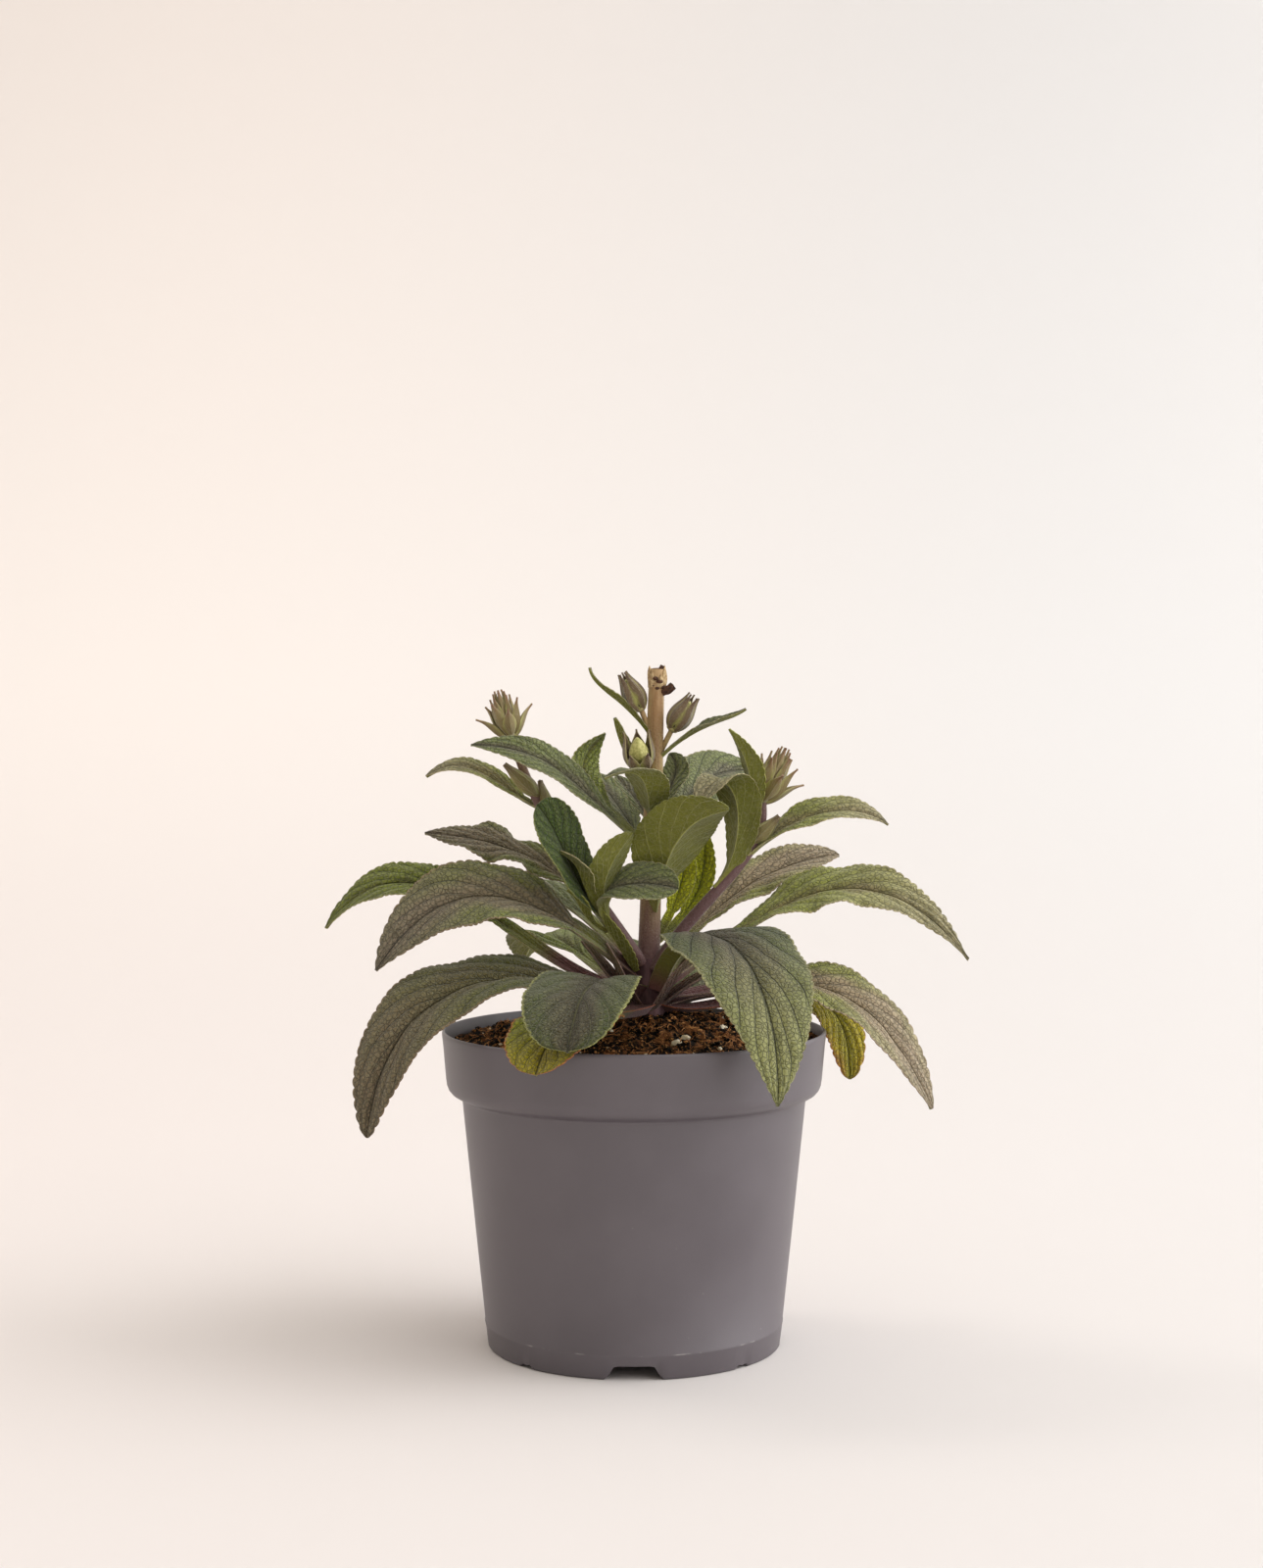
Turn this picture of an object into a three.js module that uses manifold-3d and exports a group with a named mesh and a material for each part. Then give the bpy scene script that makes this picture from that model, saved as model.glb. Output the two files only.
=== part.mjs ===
// A young foxglove with its first buds, in a round nursery pot, in millimetres with +Z up.
// The origin is the middle of the pot's foot, on the surface that it stands on, and -Y is the front.
import * as THREE from "three";
import { mergeVertices } from "three/addons/utils/BufferGeometryUtils.js";
import Module from "manifold-3d";

const wasm = await Module();
wasm.setup();

// Pot
const potHeight = 139;
const rimRadius = 85;
const collarFootRadius = 83.2;
const collarFoot = 118;
const shoulder = 110;
const shoulderRadius = 76.2;
const shoulderCurve = [[80.4, 111.6], [82.5, 114.2]];
const innerShoulder = [81.3, 115.2];
const baseRadius = 65;
const wall = 1.3;
const lipRound = 0.5;
const floorUnderside = 6.5;
const footWidth = 2.5;
const footRound = 1;
const around = 48;
const drainHoles = 8;
const drainHoleRadius = 5;
const drainCircle = 48;
const notchCount = 4;
const notchBottom = 24;
const notchTop = 16.5;
const notchHeight = 6;
const slitWidth = 3;
const slitHeight = 2.2;
const slitAngle = 44;

// Soil, and the crown that stands in it
const gap = 0.3;
const soilEdge = 82.5;
const soilShoulder = [80.9, 115.8];
const soilRings = [72, 52, 30, 0];
const soilAtWall = 133;
const soilAtCrown = 146.5;
const moundFall = 0.9;
const soilBump = 0.9;
const crownX = 6;
const crownY = 5;
const crownFoot = 136;
const crownTop = 170;
const crownRadius = 8.4;

// Main stem
const stemTop = [10.2, 5, 298.5];
const stemBaseRadius = 5.2;
const stemTopRadius = 3.4;
const stemSides = 10;
const shootSides = 7;

// Leaf blades
const bladeThickness = 0.8;
const bractThickness = 0.7;
const wingShare = 0.33;
const wingLimit = 4.4;
const rootHalfWidth = 3.4;
const keelShare = 0.17;
const toothDepth = 0.9;
const largeLeafSteps = 12;
const stemLeafSteps = 8;
const bractSteps = 3;
const corollaSides = 8;

const colours = {
  pot: 0x64646a,
  soil: 0x2c1d15,
  grey: 0x5f6753,
  green: 0x5d7440,
  purple: 0x6b6460,
  yellow: 0x99842a,
  stem: 0x66704a,
  head: 0x84704e,
  corolla: 0xb3ae55,
};

// Each row of a leaf holds four points of its midrib (root, a third, two thirds, tip), then half its
// width, the share of its length that is petiole, where along the blade it is widest, how pointed it is,
// the angle of its halves at the midrib and at the margin, its roll at the root and at the tip, and the
// height and number of its waves.
const basalLeaves = {
  leaf_far_left: ["green", [1, 7, 156], [-44, 15, 174], [-93, 22, 201], [-143, 45, 180],
    12.5, 0.42, 0.5, 0.9, 25, 0, -20, -45, 1.2, 2],
  leaf_big_left: ["purple", [1, 4, 163], [-31, -12, 188], [-71, -20, 199], [-111, -32, 168],
    19.5, 0.28, 0.45, 0.65, 22, 0, -25, -50, 1.5, 2.5],
  leaf_lower_left: ["purple", [0, 5, 151], [-43, -14, 163], [-88, -38, 153], [-113, -50, 99],
    20.5, 0.16, 0.5, 0.6, 28, -8, -10, -32, 1.6, 2.5],
  leaf_front_spoon: ["grey", [2.5, 0, 157], [-12, -30, 163], [-21, -66, 162], [-27, -97, 142],
    24, 0.3, 0.56, 0.42, 26, -5, 0, 0, 1, 2],
  leaf_front_low: ["yellow", [6, -2, 150], [-12, -36, 150], [-29, -68, 148], [-40, -92, 132],
    22, 0.35, 0.5, 0.45, 12, 0, 0, 0, 1.2, 3],
  leaf_front_right: ["grey", [10, 0, 156.5], [29, -25, 183], [50, -67, 170], [58, -92, 119],
    27.5, 0.22, 0.4, 0.57, 14, -10, 2, 5, 1.5, 3],
  leaf_lower_right: ["purple", [11, 6, 153], [52, 8, 158], [94, 3, 153], [132, -5, 104],
    17, 0.36, 0.47, 0.62, 20, 0, 10, 40, 1.2, 2.5],
  leaf_yellow_right: ["yellow", [11, 3, 149.5], [48, 7, 151], [83, 18, 150], [98, 22, 113],
    12.5, 0.5, 0.52, 0.55, 15, 0, 0, 80, 1, 2],
  leaf_big_right: ["grey", [11, 5, 157], [52, 16, 184], [98, 7, 201], [144, -30, 173],
    16, 0.28, 0.42, 0.75, 25, -5, 15, 45, 2, 3],
  leaf_grey_right: ["purple", [10, 8, 162], [35, 27, 188], [63, 39, 206], [95, 44, 214],
    14, 0.25, 0.5, 0.65, 20, 0, 10, 34, 1.5, 2.5],
  leaf_curly_left: ["purple", [3, 9, 169], [-31, 21, 204], [-62, 22, 220], [-95, 25, 225],
    12, 0.3, 0.45, 0.7, 15, -10, -15, -40, 3.2, 2.6],
  leaf_back_left_low: ["green", [3, 9, 151], [-21, 40, 166], [-41, 72, 174], [-54, 97, 160],
    17, 0.35, 0.5, 0.7, 20, 0, 0, 0, 1.5, 2.5],
  leaf_back_left: ["grey", [4, 9, 160], [-25, 36, 188], [-58, 60, 200], [-90, 80, 182],
    16, 0.3, 0.5, 0.8, 22, 0, 0, 0, 1.5, 2.5],
  leaf_back: ["grey", [7, 10, 155], [10, 40, 168], [12, 70, 168], [15, 97, 146],
    18, 0.3, 0.5, 0.8, 22, 0, 0, 0, 1.5, 2.5],
  leaf_back_right: ["grey", [9, 8, 150], [30, 37, 152], [52, 65, 160], [71, 88, 142],
    17, 0.08, 0.5, 0.6, 26, 5, 0, 0, 1.5, 2.5],
};

const mainStemLeaves = {
  arching_left: [[5, 2, 221], [-20, -6, 243], [-41, -10, 259], [-71, -16, 265],
    9.5, 0.15, 0.5, 0.85, 22, 0, -35, -60, 0.8, 2],
  upright_left: [[6, 6, 220], [-16, 24, 240], [-23, 34, 255], [-13, 38, 270],
    8, 0.2, 0.5, 0.8, 25, 5, 0, 0, 0.6, 2],
  grey_back_left: [[6, 7, 216], [-3, 28, 231], [-13, 46, 244], [-24, 58, 252],
    10, 0.2, 0.5, 0.7, 20, 0, 0, 0, 0.8, 2],
  under_front_bud: [[9, 3, 230], [7, -13, 243], [2, -24, 253], [-13, -33, 251],
    10, 0.1, 0.42, 0.75, 20, 0, 0, 0, 0.8, 2],
  pale_left: [[8, 6, 226], [3, 16, 237], [-3, 24, 245], [-8, 30, 251],
    6, 0.15, 0.5, 0.75, 25, 5, 0, 0, 0.5, 2],
  centre_front: [[9, 2, 192], [14, -10, 215], [24, -20, 230], [41, -28, 238],
    18, 0.1, 0.45, 0.6, 25, 10, -25, -30, 0.8, 2],
  grey_back_right: [[9, 7, 228], [16, 18, 245], [19, 22, 254], [16, 26, 261],
    7, 0.15, 0.5, 0.7, 20, 0, 0, 0, 0.6, 2],
  dark_back_right: [[9, 7, 221], [24, 25, 241], [38, 45, 251], [56, 60, 253],
    16, 0.15, 0.5, 0.6, 20, 0, 25, 40, 1, 2.5],
  bright_near: [[8, 7, 176], [18, 14, 193], [22, 18, 206], [24, 20, 220],
    6.5, 0.2, 0.55, 0.8, 25, 10, 50, 50, 0.5, 2],
  bright_far: [[8, 8, 175], [25, 18, 192], [31, 21, 207], [33, 23, 225],
    6.5, 0.2, 0.55, 0.8, 25, 10, 50, 50, 0.5, 2],
  left_bud_bract: [[9, 5, 266], [-2, 2, 281], [-13, -2, 290], [-19, -4, 299],
    3, 0.1, 0.4, 0.9, 30, 10, 0, 0, 0.3, 2],
  right_bud_bract: [[10, 5, 258], [26, 0, 271], [38, -3, 276], [49, -6, 281],
    4, 0.1, 0.45, 0.9, 30, 10, 10, 20, 0.5, 2],
  front_bud_bract: [[7, 4, 250], [-2, 2, 260], [-6, 1, 269], [-8, -1, 277],
    5, 0.1, 0.45, 0.7, 30, 10, 0, 0, 0.4, 2],
};

const leftShootLeaves = {
  outer: [[-41, 0, 237], [-58, 3, 247], [-74, 5, 255], [-93, 8, 251],
    6.5, 0.1, 0.5, 0.8, 25, 5, -25, -35, 0.5, 2],
  broad_front: [[-9, -5, 184], [-24, -12, 205], [-33, -16, 224], [-42, -20, 239],
    14.5, 0.12, 0.55, 0.5, 20, 5, -45, -70, 0.8, 2],
  crossing: [[-7, -4, 181], [-13, -14, 199], [1, -22, 205], [19, -28, 203],
    12, 0.2, 0.55, 0.7, 20, 0, 25, 50, 0.5, 2],
  bright_up: [[-9, -5, 182], [-14, -14, 200], [-10, -19, 214], [-1, -20, 227],
    8.5, 0.15, 0.5, 0.65, 25, 5, 0, 0, 0.5, 2],
  grey_small: [[-14, -5, 190], [-20, -14, 203], [-24, -18, 212], [-32, -20, 219],
    7, 0.15, 0.5, 0.75, 25, 5, -15, -20, 0.5, 2],
  narrow_up: [[-12, -4, 183], [-20, -12, 190], [-24, -15, 197], [-29, -16, 202],
    4, 0.15, 0.5, 0.8, 30, 10, 0, 0, 0.3, 2],
  sheath: [[1, -1, 165], [-5, -6, 175], [-11, -9, 185], [-18, -11, 196],
    5, 0, 0.4, 0.5, 40, 20, 0, 0, 0, 1],
};

const rightShootLeaves = {
  upright: [[53, 2, 226], [53, -5, 246], [49, -8, 260], [42, -9, 272],
    6.5, 0.1, 0.45, 0.85, 30, 10, 0, 0, 0.4, 2],
  broad_inner: [[36, 0, 201], [47, 0, 227], [42, -5, 248], [28, -13, 239],
    11, 0.12, 0.55, 0.6, 22, 0, 0, 0, 0.6, 2],
  outer: [[50, 1, 216], [68, 1, 229], [90, -3, 236], [112, -8, 230],
    10, 0.12, 0.45, 0.8, 25, 0, 25, 40, 0.8, 2.5],
};

// Stems and buds. A curve is four points. A bud is its foot, its tip and its greatest radius, and the
// tips of its sepals stand open by a share of that radius.
const leftShootCurve = [[3, 1, 168], [-17, -7, 198], [-37, -3, 229], [-54.5, 3, 268.5]];
const rightShootCurve = [[9, 1, 165], [32, 0, 195], [51, 2, 217], [57, 4, 240]];
const shootBaseRadius = 2.9;
const shootTopRadius = 1.8;
const leftHead = { foot: [-54.5, 3, 268.5], top: [-60.5, 3, 289], radius: 5.2 };
const rightHead = { foot: [57, 4, 240], top: [67.5, 4, 263.5], radius: 5.8 };
const openBuds = {
  left: { stalk: [9, 5, 266], foot: [3, 4, 281], tip: [-5.5, 1, 297], radius: 3.7, open: 0.6 },
  right: { stalk: [10, 5, 258], foot: [17, 4, 272], tip: [27, 1, 287], radius: 3.9, open: 1 },
  front: { stalk: [8, 2, 250], foot: [3, -5, 254], tip: [1, -9, 271], radius: 5.3, open: 1.4 },
};
const closedBuds = {
  left_outer: { shoot: "left", foot: [-43.5, -1, 243], tip: [-58, -2, 257], radius: 3.2 },
  left_inner: { shoot: "left", foot: [-38.5, -1, 235], tip: [-42, 3, 250], radius: 2.8 },
  right_low: { shoot: "right", foot: [53.5, 2, 222], tip: [65, 0, 234], radius: 3.4 },
};
const stubScabs = [
  [[11, 4, 288], [13.5, 3.5, 288.6], [15.5, 3, 289.6], [17.5, 3, 291], 1.7],
  [[10.5, 4.5, 296], [11.2, 4.2, 297.3], [12, 4, 298.6], [12.8, 4, 300], 1.3],
];

// Vector helpers
function vector(point) {
  return new THREE.Vector3(...point);
}

function radians(degrees) {
  return THREE.MathUtils.degToRad(degrees);
}

// The cubic curve that passes through four points at equal steps of its parameter
function curveThrough([start, third, twoThirds, end]) {
  const [a, b, c, d] = [start, third, twoThirds, end].map(vector);
  const first = new THREE.Vector3()
    .addScaledVector(a, -5)
    .addScaledVector(b, 18)
    .addScaledVector(c, -9)
    .addScaledVector(d, 2)
    .divideScalar(6);
  const second = new THREE.Vector3()
    .addScaledVector(a, 2)
    .addScaledVector(b, -9)
    .addScaledVector(c, 18)
    .addScaledVector(d, -5)
    .divideScalar(6);
  return new THREE.CubicBezierCurve3(a, first, second, d);
}

// A closed mesh as a solid that can be joined and cut
function solidOf(geometry) {
  const bare = geometry.clone();
  bare.deleteAttribute("normal");
  bare.deleteAttribute("uv");
  const merged = mergeVertices(bare, 1e-4);
  return new wasm.Manifold(new wasm.Mesh({
    numProp: 3,
    vertProperties: new Float32Array(merged.attributes.position.array),
    triVerts: new Uint32Array(merged.index.array),
  }));
}

function geometryOf(solid) {
  const mesh = solid.getMesh();
  return new THREE.BufferGeometry()
    .setAttribute("position", new THREE.BufferAttribute(new Float32Array(mesh.vertProperties), 3))
    .setIndex(new THREE.BufferAttribute(new Uint32Array(mesh.triVerts), 1));
}

// Pieces joined into one body, without the loose scraps that crossings leave
function joined(solids) {
  const bodies = solids.reduce((all, next) => all.add(next)).decompose();
  return bodies.reduce((largest, next) => (next.volume() > largest.volume() ? next : largest));
}

// A solid turned about the Z axis from a profile of [radius, height] points
function lathe(profile, segments = around) {
  const points = profile.map(([radius, height]) => new THREE.Vector2(radius, height));
  return new THREE.LatheGeometry(points, segments).rotateX(Math.PI / 2);
}

// A round stem along a curve, whose radius follows its length
function stemGeometry(curve, radiusAt, sides, steps) {
  const geometry = new THREE.CylinderGeometry(1, 1, 1, sides, steps);
  const position = geometry.attributes.position;
  const point = new THREE.Vector3();
  for (let i = 0; i < position.count; i++) {
    point.fromBufferAttribute(position, i);
    const along = point.y + 0.5;
    const tangent = curve.getTangent(along);
    const side = new THREE.Vector3(1, 0, 0).addScaledVector(tangent, -tangent.x).normalize();
    const front = new THREE.Vector3().crossVectors(side, tangent);
    const radius = radiusAt(along);
    const placed = curve.getPoint(along)
      .addScaledVector(side, point.x * radius)
      .addScaledVector(front, point.z * radius);
    position.setXYZ(i, placed.x, placed.y, placed.z);
  }
  return geometry;
}

// A thin closed blade: two faces split into triangles alike, and a rim that joins them
function bladeGeometry(lengthSteps, widthSteps, pointAt) {
  const face = new THREE.PlaneGeometry(1, 1, lengthSteps, widthSteps);
  const grid = face.attributes.position;
  const upper = [];
  const under = [];
  for (let i = 0; i < grid.count; i++) {
    const along = grid.getX(i) + 0.5;
    const across = 2 * grid.getY(i);
    upper.push(...pointAt(along, across, false));
    under.push(...pointAt(along, across, true));
  }
  const index = [];
  for (let i = 0; i < face.index.count; i += 3) {
    const [a, b, c] = [0, 1, 2].map((k) => face.index.getX(i + k));
    index.push(a, b, c, a + grid.count, c + grid.count, b + grid.count);
  }
  const row = lengthSteps + 1;
  const loop = [];
  for (let k = 0; k < lengthSteps; k++) loop.push(widthSteps * row + k);
  for (let k = widthSteps; k > 0; k--) loop.push(k * row + lengthSteps);
  for (let k = lengthSteps; k > 0; k--) loop.push(k);
  for (let k = 0; k < widthSteps; k++) loop.push(k * row);
  loop.forEach((a, k) => {
    const b = loop[(k + 1) % loop.length];
    index.push(a, a + grid.count, b, b, a + grid.count, b + grid.count);
  });
  return new THREE.BufferGeometry()
    .setAttribute("position", new THREE.Float32BufferAttribute([...upper, ...under], 3))
    .setIndex(index);
}

// How wide a leaf is along its length, as half its width
function halfWidthAt(leaf, along) {
  const t = Math.min(1, Math.max(0, (along - leaf.stalk) / (1 - leaf.stalk)));
  const fall = leaf.point * (1 - leaf.peak) / leaf.peak;
  const blade = leaf.half * (t / leaf.peak) ** leaf.point * ((1 - t) / (1 - leaf.peak)) ** fall;
  const petiole = Math.min(leaf.half * wingShare, wingLimit);
  const wing = THREE.MathUtils.lerp(leaf.rootHalf, petiole, Math.min(1, along * 5));
  return Math.max(blade, wing * (1 - t) ** 0.8, 0.2 + leaf.half * 0.02);
}

// A leaf's surface: its midrib is a curve, and its halves rise from it, arch over and wave
function leafGeometry(leaf, lengthSteps, widthSteps) {
  const curve = curveThrough(leaf.spine);
  const heading = vector(leaf.spine[3]).sub(vector(leaf.spine[0])).setZ(0);
  const left = new THREE.Vector3(-heading.y, heading.x, 0);
  return bladeGeometry(lengthSteps, widthSteps, (along, across, under) => {
    const tangent = curve.getTangent(along);
    const level = left.clone().addScaledVector(tangent, -left.dot(tangent)).normalize();
    const up = new THREE.Vector3().crossVectors(tangent, level);
    const roll = radians(THREE.MathUtils.lerp(leaf.roll[0], leaf.roll[1], along));
    const side = level.clone().multiplyScalar(Math.cos(roll)).addScaledVector(up, Math.sin(roll));
    const normal = up.clone().multiplyScalar(Math.cos(roll)).addScaledVector(level, -Math.sin(roll));
    const half = halfWidthAt(leaf, along);
    const edge = Math.abs(across);
    const blade = Math.max(0, (along - leaf.stalk) / (1 - leaf.stalk));
    const slope = radians(THREE.MathUtils.lerp(leaf.fold, leaf.edge, edge / 2));
    const ripple = leaf.wave * edge ** 2 * Math.sin(Math.PI * Math.min(1, blade * 1.2))
      * Math.sin(2 * Math.PI * leaf.ripples * blade + 1.9 * Math.sign(across));
    const station = Math.round(along * lengthSteps);
    const toothed = edge > 0.99 && blade > 0.08 && station % 2;
    const tooth = toothed ? Math.min(leaf.tooth, half * 0.15) : 0;
    const reach = Math.sign(across) * (edge * half - tooth);
    const point = curve.getPoint(along)
      .addScaledVector(side, reach * Math.cos(slope))
      .addScaledVector(normal, Math.abs(reach) * Math.sin(slope) + ripple)
      .addScaledVector(tangent, tooth);
    if (under) {
      const keel = leaf.keel * (1 - edge) ** 1.2 * Math.max(0.1, 1 - along / 0.8);
      point.addScaledVector(normal, -(leaf.thickness + keel) * Math.cos(slope));
      point.addScaledVector(side, Math.sign(across) * leaf.thickness * Math.sin(slope));
    }
    return point.toArray();
  });
}

// A leaf described by the numbers of its row
function leafOf([root, third, twoThirds, tip, half, stalk, peak, point, fold, edge, rollRoot, rollTip,
  wave, ripples], rootHalf, thickness, tooth) {
  return {
    spine: [root, third, twoThirds, tip],
    half, stalk, peak, point, fold, edge, wave, ripples, rootHalf, thickness, tooth,
    roll: [rollRoot, rollTip],
    keel: half * keelShare,
  };
}

function basalLeaf([, ...row]) {
  return solidOf(leafGeometry(leafOf(row, rootHalfWidth, bladeThickness, toothDepth), largeLeafSteps, 4));
}

function stemLeaf(row) {
  return solidOf(leafGeometry(leafOf(row, 1.8, bladeThickness, toothDepth * 0.6), stemLeafSteps, 2));
}

// Puts a piece built along +Z with its foot at a point, so that it points to another
function aimed(geometry, foot, tip) {
  const direction = vector(tip).sub(vector(foot)).normalize();
  const turn = new THREE.Quaternion().setFromUnitVectors(new THREE.Vector3(0, 0, 1), direction);
  return geometry.applyQuaternion(turn).translate(...foot);
}

// A ring of bracts or sepals round +Z. Each leans out, reaches its widest ring and curls at its tip.
function bractRing({ count, turn, footHeight, footRadius, spread, length, tipRadius, half, fold }) {
  const bracts = [];
  for (let k = 0; k < count; k++) {
    const angle = turn + (2 * Math.PI * k) / count;
    const at = (radius, height) => [radius * Math.cos(angle), radius * Math.sin(angle), height];
    const row = [
      at(footRadius, footHeight),
      at(spread, footHeight + length * 0.33),
      at(spread * 0.98, footHeight + length * 0.68),
      at(tipRadius, footHeight + length),
      half, 0, 0.42, 0.75, fold, fold, 0, 0, 0, 1,
    ];
    bracts.push(leafGeometry(leafOf(row, half * 0.5, bractThickness, 0), bractSteps, 2));
  }
  return bracts;
}

// The green cup of sepals that holds a flower bud
function calyx(bud) {
  const length = vector(bud.tip).distanceTo(vector(bud.foot));
  const cup = new THREE.SphereGeometry(bud.radius * 0.72, 8, 4).rotateX(Math.PI / 2).scale(1, 1, 0.5);
  const sepals = bractRing({
    count: 5, turn: 0.314, footHeight: -0.5, footRadius: 0.8, spread: bud.radius + 1.3, length,
    tipRadius: bud.radius * bud.open, half: bud.radius * 0.74, fold: 32,
  });
  return joined([cup, ...sepals].map((piece) => solidOf(aimed(piece, bud.foot, bud.tip))));
}

// The flower bud inside its calyx, clear of it all round
function corolla(bud) {
  const length = vector(bud.tip).distanceTo(vector(bud.foot)) * 0.72;
  const start = bud.radius * 0.36 + gap;
  const profile = [[0, start]];
  const steps = 6;
  for (let k = 1; k < steps; k++) {
    const t = k / steps;
    const radius = (bud.radius - 0.4) * Math.sin(Math.PI * t ** 0.75) ** 0.8;
    profile.push([radius, start + t * length]);
  }
  profile.push([0, start + length]);
  return solidOf(aimed(lathe(profile, corollaSides), bud.foot, bud.tip));
}

// A small bud that is still shut: its sepals lie against each other
function closedBud(bud) {
  const length = vector(bud.tip).distanceTo(vector(bud.foot));
  const core = new THREE.SphereGeometry(bud.radius * 0.8, 6, 4).rotateX(Math.PI / 2)
    .scale(1, 1, 1.7)
    .translate(0, 0, length * 0.4);
  const sepals = bractRing({
    count: 3, turn: 0.4, footHeight: -1, footRadius: 0.5, spread: bud.radius, length,
    tipRadius: 0.6, half: bud.radius * 0.9, fold: 35,
  });
  return joined([core, ...sepals].map((piece) => solidOf(aimed(piece, bud.foot, bud.tip))));
}

// A flower head: rings of young buds and pointed bracts packed on a core
function flowerHead(head) {
  const length = vector(head.top).distanceTo(vector(head.foot));
  const r = head.radius;
  const core = new THREE.SphereGeometry(r * 0.7, 8, 5).rotateX(Math.PI / 2)
    .scale(1, 1, (length * 0.42) / (r * 0.7))
    .translate(0, 0, length * 0.42 + gap);
  const rings = [
    { count: 4, turn: 0.2, footHeight: 1.8, footRadius: r * 0.3, spread: r * 1.15, length: length * 0.5,
      tipRadius: r * 2.3, half: r * 0.6, fold: 28 },
    { count: 3, turn: 1.1, footHeight: length * 0.12, footRadius: r * 0.4, spread: r * 1.1,
      length: length * 0.62, tipRadius: r * 1.5, half: r * 0.55, fold: 32 },
    { count: 3, turn: 0.4, footHeight: length * 0.28, footRadius: r * 0.45, spread: r * 0.85,
      length: length * 0.58, tipRadius: r * 0.75, half: r * 0.45, fold: 32 },
    { count: 3, turn: 0.9, footHeight: length * 0.5, footRadius: r * 0.3, spread: r * 0.45,
      length: length * 0.5, tipRadius: r * 0.25, half: r * 0.32, fold: 30 },
  ];
  const pieces = [core, ...rings.flatMap(bractRing)];
  return joined(pieces.map((piece) => solidOf(aimed(piece, head.foot, head.top))));
}

function shoot(points) {
  return solidOf(stemGeometry(curveThrough(points),
    (along) => THREE.MathUtils.lerp(shootBaseRadius, shootTopRadius, along), shootSides, 8));
}

function potBody() {
  const outerSlope = (shoulderRadius - baseRadius) / shoulder;
  const innerFloor = floorUnderside + wall;
  const insideAt = (height) => baseRadius + outerSlope * height - wall;
  const profile = [
    [0, floorUnderside],
    [baseRadius - footRound - footWidth, floorUnderside],
    [baseRadius - footRound - footWidth, 0],
    [baseRadius - footRound, 0],
    [baseRadius + outerSlope * footRound, footRound],
    [shoulderRadius, shoulder],
    ...shoulderCurve,
    [collarFootRadius, collarFoot],
    [rimRadius, potHeight - 2 * lipRound],
    [rimRadius - lipRound, potHeight],
    [rimRadius - wall, potHeight],
    [collarFootRadius - wall, collarFoot],
    innerShoulder,
    [insideAt(shoulder + wall), shoulder + wall],
    [insideAt(innerFloor), innerFloor],
    [0, innerFloor],
  ];
  let pot = solidOf(lathe(profile));
  for (let k = 0; k < drainHoles; k++) {
    const turn = (2 * Math.PI * (k + 0.5)) / drainHoles;
    pot = pot.subtract(solidOf(new THREE.CylinderGeometry(drainHoleRadius, drainHoleRadius, 6, 10)
      .rotateX(Math.PI / 2)
      .translate(drainCircle * Math.cos(turn), drainCircle * Math.sin(turn), floorUnderside)));
  }
  for (let k = 0; k < notchCount; k++) {
    const turn = (2 * Math.PI * k) / notchCount;
    pot = pot.subtract(solidOf(notchGeometry(notchBottom, notchTop, notchHeight).rotateZ(turn)));
    for (const side of [-1, 1]) {
      const slitTurn = turn + side * radians(slitAngle);
      pot = pot.subtract(solidOf(notchGeometry(slitWidth, slitWidth * 0.7, slitHeight).rotateZ(slitTurn)));
    }
  }
  return pot;
}

// A wedge of space that cuts through the foot ring at the front
function notchGeometry(bottomWidth, topWidth, height) {
  const outline = new THREE.Shape([
    new THREE.Vector2(-bottomWidth / 2, -1),
    new THREE.Vector2(bottomWidth / 2, -1),
    new THREE.Vector2(topWidth / 2, height),
    new THREE.Vector2(-topWidth / 2, height),
  ]);
  return new THREE.ExtrudeGeometry(outline, { depth: 10, bevelEnabled: false })
    .rotateX(Math.PI / 2)
    .translate(0, -baseRadius + 6, 0);
}

// How high the soil stands at a distance from the crown's axis and at a place
function soilHeight(x, y) {
  const fromCrown = Math.hypot(x - crownX, y - crownY) / rimRadius;
  const mound = soilAtWall + (soilAtCrown - soilAtWall) * Math.max(0, 1 - fromCrown) ** moundFall;
  const lumps = Math.sin(x * 0.31 + 1) * Math.cos(y * 0.27) + 0.6 * Math.sin(x * 0.12 - y * 0.2);
  return mound + soilBump * lumps;
}

function soilBody() {
  const outerSlope = (shoulderRadius - baseRadius) / shoulder;
  const inset = wall + gap;
  const bottom = floorUnderside + wall + gap;
  const insideAt = (height) => baseRadius + outerSlope * height - inset;
  const profile = [
    [0, bottom],
    [insideAt(bottom) - gap, bottom],
    [insideAt(shoulder), shoulder + inset],
    soilShoulder,
    [collarFootRadius - inset, collarFoot],
    [soilEdge, soilAtWall],
    ...soilRings.map((radius) => [radius, soilAtWall]),
  ];
  const geometry = lathe(profile);
  const position = geometry.attributes.position;
  for (let i = 0; i < position.count; i++) {
    if (position.getZ(i) < soilAtWall - 0.01) continue;
    position.setZ(i, soilHeight(position.getX(i), position.getY(i)));
  }
  return solidOf(geometry);
}

// The short thick crown, and with a clearance the plain hole that it stands in
function crownGeometry(clearance) {
  return lathe([
    [0, crownFoot - clearance],
    [crownRadius - 1 + clearance, crownFoot - clearance],
    [crownRadius + clearance, crownFoot + 10],
    [crownRadius - 0.6 + clearance, crownFoot + 17],
    [crownRadius - 2.2 + clearance, crownFoot + 24],
    [stemBaseRadius + clearance, crownTop],
    [0, crownTop],
  ], 16).translate(crownX, crownY, 0);
}

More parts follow.
